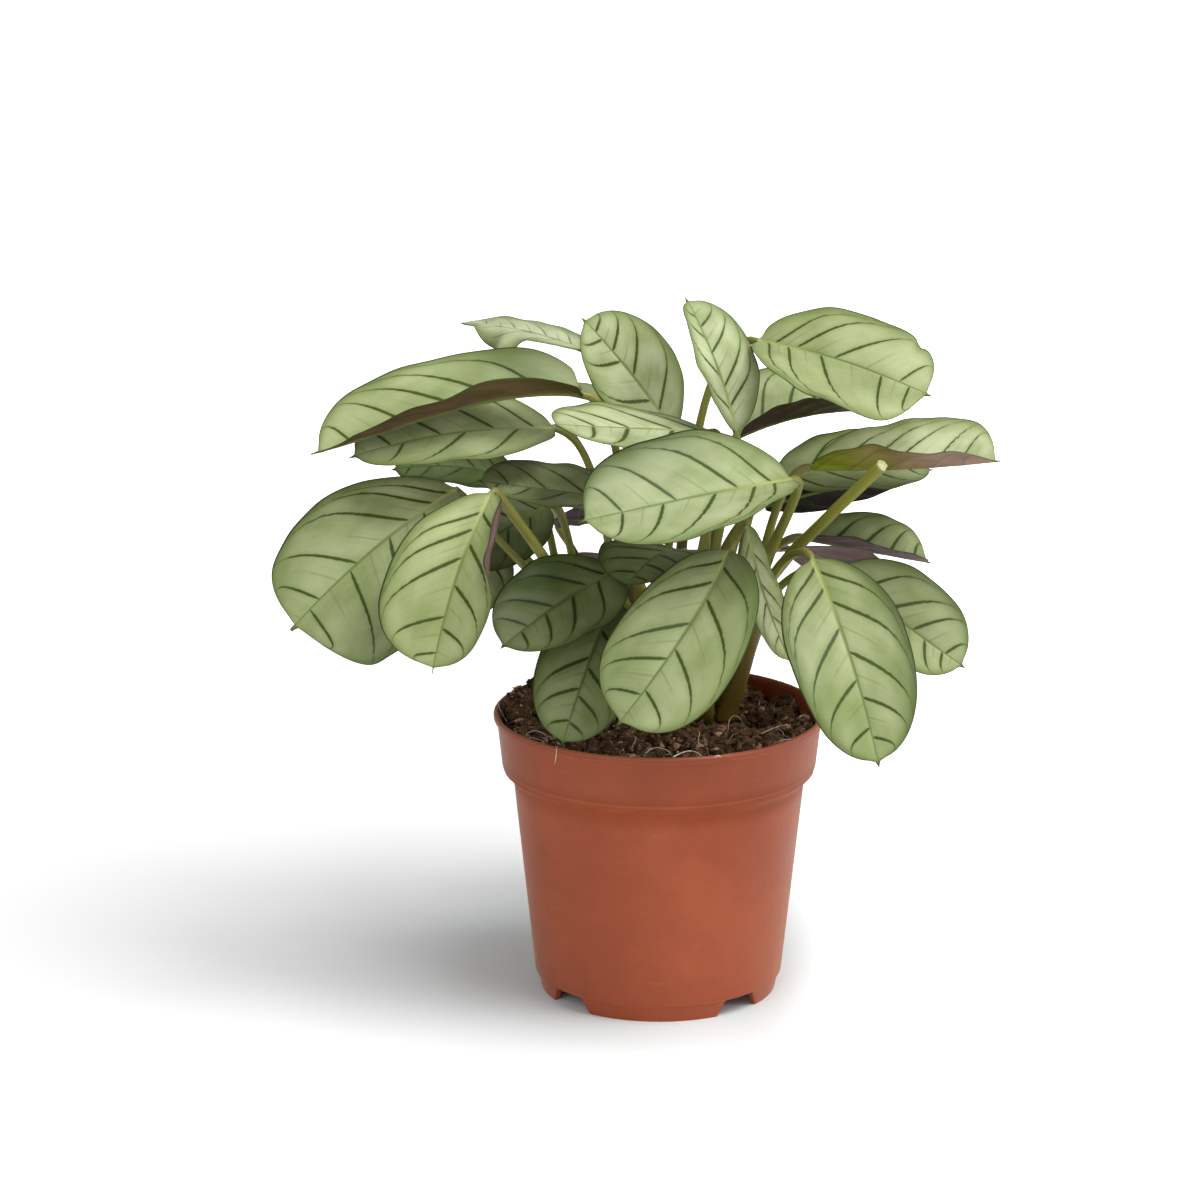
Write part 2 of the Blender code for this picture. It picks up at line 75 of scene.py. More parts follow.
# ---- the leaves, as the solids have them, in millimetres from the pot's axis ----
# base and tip place the blade; face is where its upper side looks (turn, tilt); root is
# the foot of the stalk, which rises and then reaches along the blade. Of the rest, bow,
# sway and skew bend the midrib, fold, curl and twist turn the halves, widest, shoulder,
# blunt and spike shape the outline, lop and slim its two halves, and heading and lean
# the stalk.
LEAF_COLUMNS = ("base", "tip", "width", "face", "root", "rise", "reach")
LEAF_ROWS = (
    ((-27, -5, 222), (-123, -25, 205), 45, (-95, 80), (-8, 26), 70, 14, dict(bow=0.05, skew=-0.8,
     fold=(52, 20), fold_left=(46, 62), twist=-20, widest=0.5, shoulder=0.42, blunt=3.2, slim=0.5)),
    ((-37, 6, 207), (-110, -18, 202), 44, (-90, 66), (-12, 20), 60, 16, dict(bow=0.06, fold=(10, 10))),
    ((-27, 44, 228), (-73, 74, 232), 28, (-90, 90), (2, 34), 80, 20, dict(bow=0.04, fold=(4, 4),
     widest=0.42)),
    ((5, 28, 200), (-28, 9, 247), 36, (-75, 32), (-1, 24), 50, 14, dict(bow=0.06, fold=(10, 10))),
    ((18, -2, 208), (-38, -40, 219), 42, (-92, 74), (8, 14), 60, 14, {}),
    ((46, -26, 196), (-29, -72, 192), 49, (-95, 52), (36.4, -4.6, CROWN), 14, 12, dict(bow=0.06, sway=-0.04,
     fold=(35, 8), widest=0.53, blunt=3.4)),
    ((8, -6, 165), (-12, -38, 160), 40, (-120, 60), (4, 9), 40, 14, dict(bow=0.12, fold=(8, 8))),
    ((-15, -20, 162), (-56, -60, 144), 38, (-100, 44), (0, 14), 40, 14, dict(bow=0.05, fold=(8, 8))),
    ((24, -35, 173), (-16, -85, 123), 49, (-85, 40), (14, 4), 50, 20, dict(bow=0.12, sway=-0.05, fold=(8, 8),
     fold_left=(20, 10), widest=0.62, blunt=2.9, lop=0.86, slim=0.97)),
    ((-17, -12, 149), (-35, -52, 106), 35, (-90, 30), (-4, 9), 30, 16, dict(bow=0.1, fold=(8, 8),
     widest=0.54)),
    ((31, -17, 177), (46, -41, 133), 18, (-150, 24), (18, 3), 50, 12, dict(bow=0.1, sway=-0.05, fold=(5, 5))),
    ((53, -32, 169), (75, -78, 106), 43, (-85, 25), (40.2, -4.2, CROWN), 10, 8, dict(bow=0.1, sway=-0.01,
     fold=(6, 6))),
    ((62, -2, 156), (109, -18, 125), 40, (-75, 42), (24, 18), 40, 14, dict(fold=(14, 14))),
    ((53, 12, 165.5), (99, 20, 154), 35, (-90, 82), (19, 22), 40, 14, dict(fold=(42, 24), widest=0.62,
     blunt=4.2, spike=0.02, lop=0.7, slim=1.0)),
    ((54, 2, 194), (120, -18, 201), 45, (-90, 84), (35.6, -0.2, CROWN), 16, 10, dict(bow=-0.02, fold=(42, 26),
     widest=0.56, blunt=4.2, lop=1.12, slim=1.0)),
    ((42, 20, 185), (100, 30, 188), 44, (-90, 73), (26, 24), 60, 10, dict(bow=0.04, fold=(8, 8))),
    ((39, 43, 170), (103, 66, 178), 46, (90, 46), (10, 34), 40, 14, dict(bow=0.02, fold=(8, 8))),
    ((29, 30, 199), (72, 50, 204), 46, (-90, 88), (15, 30), 60, 14, dict(bow=0.05, fold=(54, 26), lop=0.62,
     slim=1.0)),
    ((35, 17, 237), (95, -17, 224), 50, (-80, 52), (5, 29), 90, 24, dict(bow=0.05, fold=(30, 4), blunt=6.0,
     lop=1.1, slim=0.8)),
    ((27, -4, 208), (9, 10, 254), 29, (-45, 15), (14, 16), 60, 10, dict(bow=0.05, fold=(20, 20), lop=1.07)),
    ((-72, -6, 188), (-130, -40, 145), 66, (-110, 30), (-16, 16), 40, 30, dict(bow=0.08, fold=(4, 4),
     widest=0.58, lop=0.84, blunt=3.3, spike=0.02, heading=(-0.5, -0.1, 0.85))),
    ((-59, -36, 194), (-79, -78, 140), 50, (-105, 25), (-6, 3), 24, 4, dict(bow=0.08, sway=0.01, fold=(5, 5),
     fold_left=(15, 15), curl_left=(70, 10), widest=0.62, lop=0.98, slim=0.8, blunt=2.6, spike=0.02)),
    ((-51, 48, 178), (-98, 40, 184), 36, (-90, 70), (-14, 30), 20, 20, dict(bow=0.08, fold=(10, 10),
     lean=0.8)),
    ((-9, -5, 183), (-65, -14, 193), 35, (-92, 74), (-2, 19), 50, 12, dict(fold=(8, 8))),
    ((-40, 26, 174), (-74, 8, 156), 32, (-90, 45), (-16, 22), 20, 12, dict(bow=0.06, fold=(10, 10),
     lean=0.6)),
    ((-59, 38, 156), (-75, 26, 134), 30, (-100, 30), (-23, 28), 30, 12, dict(bow=0.1, fold=(10, 10))),
    ((-13, 52, 164), (-39, 40, 165), 28, (90, 56), (-7, 33), 30, 12, dict(fold=(6, 6),
     heading=(-0.6, 0.2, 0.75))),
    ((8, 52, 186), (-14, 112, 142), 44, (110, 55), (6, 40), 60, 16, dict(bow=0.1, fold=(8, 8))),
    ((44, 48, 152), (82, 98, 112), 42, (60, 40), (20, 34), 40, 14, dict(bow=0.12, fold=(8, 8))),
    ((-8, 62, 146), (-28, 110, 104), 44, (110, 40), (-8, 41), 40, 14, dict(bow=0.12, fold=(8, 8),
     heading=(0, 0.5, 0.85))),
    ((-22, 60, 206), (-78, 98, 188), 42, (130, 65), (2, 45), 70, 16, dict(bow=0.1, fold=(8, 8))),
    ((30, 58, 170), (72, 108, 160), 44, (60, 70), (14, 41), 50, 16, dict(bow=0.1, fold=(8, 8))),
    ((-38, 66, 158), (-92, 100, 140), 44, (140, 70), (-17, 42), 40, 16, dict(bow=0.1, fold=(8, 8),
     heading=(-0.5, 0.3, 0.8))),
)
LEAVES = {f"leaf_{number:02d}": dict(zip(LEAF_COLUMNS, row), **row[7])
          for number, row in enumerate(LEAF_ROWS, 1)}

# How each leaf differs from the others: bands says where its dark bands leave the midrib
# (first for the side with v above 0) and band_width how wide they are in mm; yellow shifts its
# green, and silver moves it towards the pale colour, partly the leaf's own silvery tone and
# partly painted sheen and painted light on leaves that catch the light; the leaf's own painted
# shading darkens it as painted shade, and lightens it as painted light when below zero, and
# patches of painted shading do the same in places (t, v, reach in t, reach in v, amount);
# ripple waves its margin; bites are dents in it (t, depth in mm, length as a share, whether on
# the right); roll turns a margin over (on the right, from which share, degrees, first t, last
# t); stalk thickens the stalk; under and under_tip colour the underside. v runs from -1 to 1
# across a blade, t from 0 at the stalk to 1.
LOOKS = {
    "leaf_01": dict(bands=((0.13, 0.3, 0.44, 0.64, 0.85), (0.2, 0.45, 0.7)), painted_shading=-0.14, painted_shading_patches=((0.12, -0.6,
        0.22, 0.9, 0.2), (0.2, 0.75, 0.16, 0.6, 0.55)), ripple=2.0, bites=((0.84, 11.0, 0.14, False),),
        roll=(False, 0.0, -150, 0.84, 1.4), under=(0.1, 0.07, 0.025), under_tip=(0.105, 0.064, 0.036)),
    "leaf_02": dict(bands=((0.1, 0.3, 0.56, 0.8), (0.18, 0.44, 0.74)), painted_shading_patches=((0.3, 0.6, 0.4, 0.7, -0.45),)),
    "leaf_03": dict(band_width=0.12, silver=1.0, bites=((0.53, -7.5, 0.05, False), (0.8, 2.8, 0.12, False)),
        roll=(False, 0.3, -120, 0.34, 0.8), under=(0.42, 0.42, 0.24), under_tip=(0.5, 0.48, 0.32)),
    "leaf_04": dict(bands=((0.2, 0.51, 0.72, 0.88), (0.08, 0.3, 0.64, 0.82)), silver=0.35, painted_shading=-0.22),
    "leaf_05": dict(bands=((0.06, 0.24, 0.52, 0.735), (0.06, 0.24, 0.53, 0.75)), band_width=0.8, silver=0.5,
        painted_shading=-0.16),
    "leaf_06": dict(bands=((0.11, 0.285, 0.585, 0.82), (0.09, 0.2, 0.4, 0.645, 0.82)), silver=0.25,
        painted_shading_patches=((0.68, 1.1, 0.5, 0.55, 0.62), (0.1, 0.0, 0.25, 0.9, -0.14)), ripple=1.6,
        bites=((0.13, 1.2, 0.02, False), (0.08, 0.8, 0.012, False)), stalk=1.35),
    "leaf_07": dict(painted_shading=0.48),
    "leaf_08": dict(bands=((0.1, 0.265, 0.555, 0.775), (0.18, 0.4, 0.63, 0.83)), painted_shading=0.4,
        painted_shading_patches=((0.5, 0.6, 0.4, 0.7, 0.36),)),
    "leaf_09": dict(bands=((0.07, 0.21, 0.46, 0.655, 0.84), (0.11, 0.31, 0.6, 0.815)), painted_shading_patches=((0.14, -0.75, 0.3,
        0.5, 0.45), (0.9, 0.5, 0.25, 0.7, 0.24))),
    "leaf_10": dict(bands=((0.2, 0.45, 0.655, 0.85), (0.25, 0.52, 0.7, 0.86)), painted_shading=0.34,
        painted_shading_patches=((0.2, 0.0, 0.3, 1.5, 0.2),)),
    "leaf_11": dict(band_width=0.3, silver=0.5, painted_shading=-1.5),
    "leaf_12": dict(bands=((0.04, 0.16, 0.37, 0.62, 0.83), (0.07, 0.235, 0.49, 0.7, 0.87)), painted_shading_patches=((0.4, -1.05,
        0.5, 0.32, 0.55), (0.6, 1.0, 0.4, 0.3, 0.25))),
    "leaf_13": dict(bands=((0.2, 0.45, 0.7, 0.83), (0.17, 0.39, 0.6, 0.85)),
        painted_shading_patches=((0.5, -1.05, 0.5, 0.3, 0.35),)),
    "leaf_14": dict(painted_shading=0.12, painted_shading_patches=((0.1, -0.5, 0.3, 1.2, 0.4),), under=(0.11, 0.06, 0.075),
        under_tip=(0.14, 0.085, 0.1)),
    "leaf_15": dict(bands=((0.2, 0.4, 0.64, 0.8), (0.13, 0.27, 0.4, 0.64, 0.78)), band_width=0.36, silver=0.4,
        painted_shading=-0.5, painted_shading_patches=((0.9, 0.0, 0.3, 1.5, 0.3),), ripple=1.8, under=(0.22, 0.245, 0.012),
        under_tip=(0.27, 0.155, 0.1)),
    "leaf_16": dict(painted_shading=0.1),
    # leaf_17's near-black underside is painted shade: it lies in shadow under the leaves above.
    "leaf_17": dict(under=(0.012, 0.009, 0.005), under_tip=(0.014, 0.01, 0.006)),
    "leaf_18": dict(under=(0.045, 0.026, 0.02), under_tip=(0.07, 0.05, 0.025)),
    "leaf_19": dict(bands=((0.06, 0.18, 0.37, 0.725, 0.88), (0.1, 0.225, 0.445, 0.82)), band_width=0.52,
        yellow=0.08, silver=0.1, painted_shading=-0.12, painted_shading_patches=((0.72, 0.3, 0.3, 0.5, 0.22),), ripple=1.8,
        bites=((0.81, 2.2, 0.025, False),)),
    "leaf_20": dict(bands=((0.18, 0.32, 0.575, 0.77), (0.15, 0.4, 0.69, 0.85)), band_width=0.46, silver=0.6,
        painted_shading=-0.1),
    "leaf_21": dict(bands=((0.04, 0.135, 0.275, 0.59, 0.82), (0.2, 0.4, 0.635, 0.88)), painted_shading_patches=((0.14, 0.6, 0.2,
        0.7, -0.6), (0.6, -0.8, 0.4, 0.5, 0.26), (0.6, 0.9, 0.35, 0.4, 0.15)),
        bites=((0.9, -3.5, 0.07, False), (0.78, 2.0, 0.1, True))),
    "leaf_22": dict(bands=((0.13, 0.235, 0.4, 0.725, 0.9), (0.13, 0.32, 0.555, 0.78)), yellow=0.12,
        painted_shading=-0.08, painted_shading_patches=((0.25, 0.45, 0.16, 0.3, -0.22),), roll=(False, 0.78, 170, 0.0, 0.62), stalk=1.5,
        under=(0.17, 0.085, 0.095), under_tip=(0.15, 0.075, 0.085)),
    "leaf_23": dict(bands=((0.15, 0.35, 0.64, 0.84), (0.2, 0.45, 0.7, 0.86)), band_width=0.35, painted_shading=0.66),
    "leaf_24": dict(band_width=0.5, painted_shading_patches=((0.3, 0.5, 0.3, 0.8, 0.3),)),
    "leaf_25": dict(band_width=0.4, yellow=0.1, painted_shading=0.4),
    "leaf_27": dict(under=(0.1, 0.05, 0.06), under_tip=(0.12, 0.06, 0.07)),
}
PLAIN_BANDS = ((0.10, 0.30, 0.56, 0.80), (0.20, 0.43, 0.66, 0.86))

SHOOT_RADII = (4.0, 3.4, 3.3, 3.8, 5.0)
SHOOT_PATH = ((24, 8, GROUND), (28.5, 5, 112), (32, 3, 126), (36, 0, 142), (38, -2, CROWN - 0.3))
CUT_STALK = ((40.2, 0, CROWN), (48, -5, 165), (62, -21, 184), (77, -38, 204))
CUT_RADIUS = 2.2
ROOTS = (
    ((25.2, -6.6, 98.0), (24.0, -7.1, 104.0), (28.2, -6.6, 107.0), (31.0, -5.1, 99.0)),
    ((4.1, -59.3, 104.4), (6.2, -58.8, 105.6), (11.4, -57.0, 108.4), (14.9, -55.5, 102.8)),
    ((36.2, -22.8, 102.0), (39.1, -22.3, 103.2), (41.9, -21.8, 104.6), (45.8, -21.3, 105.0)),
    ((50.4, -1.5, 101.0), (51.8, -1.0, 104.0), (56.4, -0.5, 102.1), (52.6, -6.0, 100.3)),
    ((13.9, -14.1, 100.5), (15.2, -20.0, 101.0), (12.6, -26.0, 100.4), (14.3, -30.0, 99.5)),
    ((-9.2, -19.1, 100.0), (-7.2, -24.6, 100.4), (-10.8, -30.1, 100.0), (-9.9, -34.0, 99.0)),
    ((-47.9, -24.3, 102.0), (-45.1, -23.8, 104.6), (-42.5, -26.3, 104.2), (-38.4, -25.8, 100.5)),
    ((-36.4, -44.1, 103.5), (-36.8, -47.9, 106.0), (-36.5, -50.0, 102.0), (-37.4, -49.0, 98.7)),
    ((-57.6, 11.5, 103.5), (-59.0, 6.0, 105.3), (-58.2, 0.0, 105.0), (-55.0, -8.0, 101.9)),
    ((-54.6, 20.0, 104.0), (-57.1, 14.0, 106.7), (-53.3, 10.0, 104.2), (-48.8, 6.6, 102.5)),
    ((18.8, -58.6, 104.2), (19.5, -59.6, 105.3), (20.2, -59.1, 105.2), (20.9, -58.2, 104.0)),
    ((-5.8, -38.7, 99.0), (-3.0, -38.2, 101.7), (0.1, -36.7, 102.4), (4.0, -37.2, 98.8)),
    ((-46.4, -26.5, 101.0), (-47.5, -30.0, 103.3), (-44.1, -31.5, 103.1), (-41.0, -29.0, 100.6)),
    ((40.4, -30.5, 101.0), (43.5, -34.0, 103.3), (46.1, -30.5, 102.1), (48.0, -27.0, 101.6)),
)

# ---- sizes that shape a piece, in millimetres --------------------------------
STALK_LOW = 1.6
STALK_TOP = 1.1
STALK_ROWS = 26
LEAN = 0.15
JOINT_HALF = 4.5              # half the swollen joint where stalk meets blade
JOINT_SWELL = 0.35
BLADE_ROWS = 64
HALF_COLUMNS = (0.02, 0.05, 0.10, 0.18, 0.28, 0.39, 0.50, 0.61, 0.72, 0.82, 0.90, 0.96, 1.0)
SPIKE_START = 0.93
SPIKE_SHARE = 0.13
BLUNT = 2.4
SHOULDER = 0.66
BODY_SHARE = 0.965
GROOVE_DEPTH = 0.35
GROOVE_WIDTH = 0.8
TUBE_RINGS, TUBE_SIDES = 60, 48
STRAND_STEPS, STRAND_SIDES = 12, 6
BED_RINGS, BED_SIDES = 110, 380
CORNER_ANGLE = math.radians(24.0)   # sharper edges of the pot are rounded
PAINTED_SHADING_PARTS = (1.03, 0.95, 1.14)    # how strongly painted shading darkens red, green and blue
SOIL_RADIUS = (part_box("soil")[1][0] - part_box("soil")[0][0]) / 2 / MM + 0.2
SOIL_CEILING = SOIL_TOP + 9.0
SOIL_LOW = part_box("soil")[0].z / MM
SOIL_TAPER = ((SOIL_RADIUS - 0.8, 88.0), (50.8, 80.0), (42.0, SOIL_LOW))    # radius, height
SOIL_SEED = 11
CRUMB_RISE = 0.62             # how dry a loose grain looks, from 0 to 1
SOIL_MOUNDS = (               # x, y, reach, rise
    (-50, 6, 22, 8.0), (-38, 34, 22, 8.0), (-14, 50, 16, 3.0), (36, 9, 11, -10.0), (6, -38, 18, -4.0),
    (-24, -30, 12, -2.0), (30, 34, 12, 3.0), (50, -4, 12, 1.5))

# ---- the stage, in metres from the foot of the pot's axis --------------------
LAMPS = (                     # name, share of the key power, size, place
    ("key", 1.0, 1.15, (0.64, -0.44, 1.56)),
    ("front", 0.46, 1.6, (-0.7, -1.6, 0.9)),
    ("side", 0.36, 0.9, (1.5, -0.3, 0.55)),
)
LAMP_TARGET = (0.0, 0.0, 0.12)
FLOOR_REACH = 6.0
SHADOW_OFFSET = (-0.008, 0.016, 0.0)    # the middle of the cast shadow, where the floor's painted light is weakest
CAMERA_OFFSET = (-0.0214, -1.5, 0.5473)
CAMERA_TILT = 75.0
CAMERA_LENS = 129.36


# ---- settings ----------------------------------------------------------------
def colour_setting(name, description, default):
    return FloatVectorProperty(name=name, description=description, subtype="COLOR", size=3, min=0.0, max=1.0,
                               default=default)


def length_setting(name, description, default):
    return FloatProperty(name=name, description=description, subtype="DISTANCE", unit="LENGTH", min=0.0,
                         precision=5, default=default)


class CtenantheLeafSettings(bpy.types.PropertyGroup):
    silver: colour_setting("Silver", "Palest green of the blade's upper side", (0.385, 0.435, 0.222))
    green: colour_setting("Green", "Deeper green of the blade's upper side", (0.205, 0.262, 0.085))
    yellow: colour_setting("Yellow", "Green of young leaves", (0.42, 0.46, 0.16))
    band: colour_setting("Band", "Dark bands along the side veins", (0.034, 0.060, 0.002))
    rib: colour_setting("Midrib", "Line along the middle of the blade", (0.15, 0.21, 0.05))
    under: colour_setting("Underside", "Purple of a blade's underside", (0.12, 0.058, 0.055))
    # The pale colour is a painted silvery sheen, taken on by leaves with a silver share.
    pale: colour_setting("Pale", "Silvery sheen of the palest leaves", (0.56, 0.62, 0.40))
    thickness: length_setting("Thickness", "Thickness of a blade", 0.0005)
    pleat: length_setting("Pleat", "How far the blade rises between its side veins", 0.00042)
    ripple: length_setting("Ripple", "How far the margin waves up and down", 0.0006)


class CtenantheStalkSettings(bpy.types.PropertyGroup):
    green: colour_setting("Green", "Upper part of a stalk", (0.235, 0.240, 0.028))
    brown: colour_setting("Brown", "Lower part of a stalk and the sheaths", (0.135, 0.092, 0.012))
    joint: colour_setting("Joint", "Swollen joint under the blade", (0.23, 0.22, 0.055))
    cut: colour_setting("Cut end", "Pale end of the cut stalk", (0.62, 0.64, 0.36))


class CtenanthePotSettings(bpy.types.PropertyGroup):
    colour: colour_setting("Colour", "Terracotta plastic", (0.352, 0.069, 0.0215))
    # The next colour is a painted highlight along the rim and the collar's lower edge.
    painted_edge_highlight: colour_setting("Worn edges", "Paler moulded edges", (0.60, 0.25, 0.15))
    dust: colour_setting("Dust", "Dry film near the rim", (0.48, 0.17, 0.09))
    roughness: FloatProperty(name="Roughness", description="Roughness of the plastic", min=0.0, max=1.0,
                             default=0.42)
    edge: length_setting("Edge", "Rounding of the moulded edges", 0.0003)
    neck: length_setting("Neck", "Rounding where the collar meets the body", 0.0014)


class CtenantheSoilSettings(bpy.types.PropertyGroup):
    # The gap colour is painted shade, where the clods shade the gaps between them.
    gap: colour_setting("Gaps", "Darkest peat, down between the clods", (0.018, 0.010, 0.005))
    peat: colour_setting("Peat", "Damp peat", (0.140, 0.076, 0.034))
    dry: colour_setting("Dry peat", "Dry crumbs on top", (0.50, 0.305, 0.17))
    pale: colour_setting("Pale peat", "Palest crumbs and dry fibres", (0.52, 0.34, 0.20))
    fibre: colour_setting("Fibres", "Pale roots", (0.92, 0.86, 0.76))
    grit_colour: colour_setting("Grit colour", "White grains", (0.88, 0.83, 0.75))
    crumbs: IntProperty(name="Crumbs", description="Number of loose crumbs", min=0, default=2200)
    fibres: IntProperty(name="Fibres", description="Number of loose fibres", min=0, default=150)
    grit: IntProperty(name="Grit", description="Number of white grains", min=0, default=240)


class CtenantheStageSettings(bpy.types.PropertyGroup):
    floor: colour_setting("Floor", "Floor and backdrop", (0.90, 0.90, 0.90))
    key: FloatProperty(name="Key light", description="Power of the main lamp", subtype="POWER", unit="POWER",
                       min=0.0, default=21.5)
    fill: FloatProperty(name="Fill", description="Strength of the light from all around", min=0.0,
                        default=0.32)


# ---- making materials --------------------------------------------------------
class Value:
    """A number or colour worked out by nodes, which takes part in sums like a plain number."""

    def __init__(self, finish, socket):
        self.finish, self.socket = finish, socket

    def __abs__(self):
        return self.finish.sum("ABSOLUTE", self)


for sign, operation in (("add", "ADD"), ("sub", "SUBTRACT"), ("mul", "MULTIPLY"), ("truediv", "DIVIDE")):
    setattr(Value, f"__{sign}__", lambda here, other, kind=operation: here.finish.sum(kind, here, other))
    setattr(Value, f"__r{sign}__", lambda here, other, kind=operation: here.finish.sum(kind, other, here))


class Finish:
    """A material and short ways to add nodes to it."""

    def __init__(self, name, roughness=0.5):
        self.material = bpy.data.materials.new(name)
        self.material.use_nodes = True
        self.tree = self.material.node_tree
        self.shader = self.tree.nodes["Principled BSDF"]
        self.set("Roughness", roughness)

    def put(self, socket, value):
        if isinstance(value, Value):
            self.tree.links.new(value.socket, socket)
            return
        if hasattr(value, "__len__") and len(value) == 3 and len(socket.default_value) == 4:
            value = (*value, 1.0)
        socket.default_value = value

    def set(self, name, value):
        self.put(self.shader.inputs[name], value)

    def node(self, kind, inputs=(), output=0, **settings):
        """Add a node with these inputs, by name or in their order, and give one of its outputs."""
        made = self.tree.nodes.new(kind)
        for key, value in settings.items():
            setattr(made, key, value)
        for key, value in inputs.items() if isinstance(inputs, dict) else enumerate(inputs):
            self.put(made.inputs[key], value)
        return Value(self, made.outputs[output])

    def sum(self, kind, *values):
        return self.node("ShaderNodeMath", values, operation=kind)

    def step(self, value, low, high, start=0.0, end=1.0):
        return self.node("ShaderNodeMapRange", (value, low, high, start, end),
                         interpolation_type="SMOOTHSTEP")

    def mix(self, share, first, second, kind="MIX"):
        return self.node("ShaderNodeMix", {0: share, 6: first, 7: second}, 2, data_type="RGBA",
                         blend_type=kind)

    def join(self, *values):
        return self.node("ShaderNodeCombineXYZ", values)

    def lit(self, colour, *light):
        """A colour made lighter or darker, as a whole or channel by channel."""
        return self.mix(1.0, colour, self.join(*(light if len(light) == 3 else light * 3)), "MULTIPLY")

    def attribute(self, name):
        return self.node("ShaderNodeAttribute", output="Vector", attribute_name=name)

    def split(self, vector):
        parts = self.node("ShaderNodeSeparateXYZ", (vector,)).socket.node
        return [Value(self, output) for output in parts.outputs]

    def noise(self, place, scale, detail=3.0, roughness=0.55, distortion=0.0):
        return self.node("ShaderNodeTexNoise", {"Vector": place, "Scale": scale, "Detail": detail,
                                                "Roughness": roughness, "Distortion": distortion}, "Fac")

    def place(self):
        return self.node("ShaderNodeTexCoord", output="Object")

    def bump(self, height, depth, strength=1.0):
        self.set("Normal", self.node("ShaderNodeBump", {"Height": height, "Distance": depth,
                                                        "Strength": strength}))


def leaf_values(finish, drift):
    """What both sides of a leaf start from: its stored values, a place for clouds, and fine grain."""
    phase, gap, band = finish.split(finish.attribute("vein"))
    along, across, margin = finish.split(finish.attribute("place"))
    seed = finish.split(finish.attribute("stalk"))[2]
    grain = finish.noise(finish.join(phase * 16.0, across * 0.04, seed), 1.6, 3.0, 0.55)
    off_vein = abs((finish.sum("FRACT", phase + 0.5) - 0.5) * gap)
    clouds = finish.join(along * 3.0, across * drift, seed)
    return phase, gap, band, along, across, margin, off_vein, grain, clouds


def upper_side_finish(look):
    """Silvery green with dark side-vein bands, a thin dark margin, a paler midrib, and painted sheen, light
    and shade.
    """
    finish = Finish("leaf_upper_side")
    phase, gap, band, along, across, margin, off_vein, grain, clouds = leaf_values(finish, 0.06)
    yellow, silver, painted_shading = finish.split(finish.attribute("tone"))
    distance = abs(across)
    wander = (finish.noise(clouds, 9.0, 2.0) - 0.5) * 0.5

    tone = finish.step(finish.noise(clouds, 1.3, 3.0, 0.5) + (grain - 0.5) * 0.12, 0.14, 0.78)
    colour = finish.mix(tone, look.green, look.silver)
    # Towards the pale colour: partly the leaf's own silvery tone, partly painted sheen and painted light.
    colour = finish.mix(silver * tone, colour, look.pale)
    colour = finish.mix(yellow, colour, look.yellow)
    colour = finish.lit(colour, finish.step(grain, 0.3, 0.7, 0.98, 1.015))

    off_band = off_vein + wander
    core = finish.step(off_band, band * 0.5, band * 1.5, 1.0, 0.0)
    halo = finish.step(off_band, 0.0, band * 4.0 + 0.5, 0.40, 0.0)
    has_band = finish.step(band, 0.02, 0.12)
    colour = finish.mix(halo * has_band, colour, look.green)
    colour = finish.mix(core * (has_band * 0.94), colour, look.band)

    between = abs(finish.sum("FRACT", phase) - 0.5)
    share = distance / (distance + (margin + 0.01))
    faint = finish.step(share + wander, 0.15, 0.60, 0.42, 0.0)
    colour = finish.mix(finish.step(between * gap, 0.12, 0.55, 1.0, 0.0) * faint, colour, look.rib)

    rib_half = (1.0 - along) * 0.55 + 0.22
    rib_colour = finish.mix(finish.step(along, 0.0, 0.5), look.yellow, look.rib)
    colour = finish.mix(finish.step(distance, rib_half * 0.6, rib_half * 1.7, 0.9, 0.0), colour, rib_colour)

    # Darker towards the margin: the thin dark line and the narrow dark rim beside it are the leaf's own; the
    # wide darkening to green over the last 7 mm is painted shade, where the blade turns from the light.
    for low, high, amount, tint in ((0.3, 7.0, 0.75, look.green), (0.3, 3.6, 0.30, look.band),
                                    (0.15, 0.75, 0.80, look.band)):
        colour = finish.mix(finish.step(margin, low, high, amount, 0.0), colour, tint)
    # Painted shade darkens the colour channel by channel; where the shading is below zero it is painted
    # light.
    finish.set("Base Color", finish.lit(colour, *[1.0 - painted_shading * part for part in PAINTED_SHADING_PARTS]))
    finish.set("Roughness", finish.step(grain, 0.2, 0.8, 0.50, 0.43))
    finish.set("Specular IOR Level", 0.22)
    finish.bump(grain * 0.6 + core * -0.5, 0.0002, 0.22)
    return finish.material


def underside_finish(look):
    """Each leaf's own two underside colours, with soft clouds, a green midrib and faint veins."""
    finish = Finish("leaf_underside")
    _, _, _, along, across, margin, off_vein, grain, clouds = leaf_values(finish, 0.07)
    near, far = finish.attribute("under"), finish.attribute("under_tip")
    cloud = finish.noise(clouds, 1.8, 4.0, 0.6)
    colour = finish.mix(finish.step(along + (cloud - 0.5) * 0.5, 0.05, 0.75), near, far)
    colour = finish.lit(colour, finish.step(cloud + grain * 0.3, 0.4, 0.9, 0.82, 1.22))
    for value, low, high, amount, tint in ((off_vein, 0.15, 0.9, 0.35, look.band),
                                           (abs(across), 0.4, 1.5, 0.7, look.rib),
                                           (margin, 0.15, 0.7, 0.6, look.band)):
        colour = finish.mix(finish.step(value, low, high, amount, 0.0), colour, tint)
    finish.set("Base Color", colour)
    finish.set("Specular IOR Level", finish.step(finish.split(near)[0], 0.014, 0.05, 0.01, 0.14))
    finish.bump(grain, 0.0002, 0.5)
    return finish.material


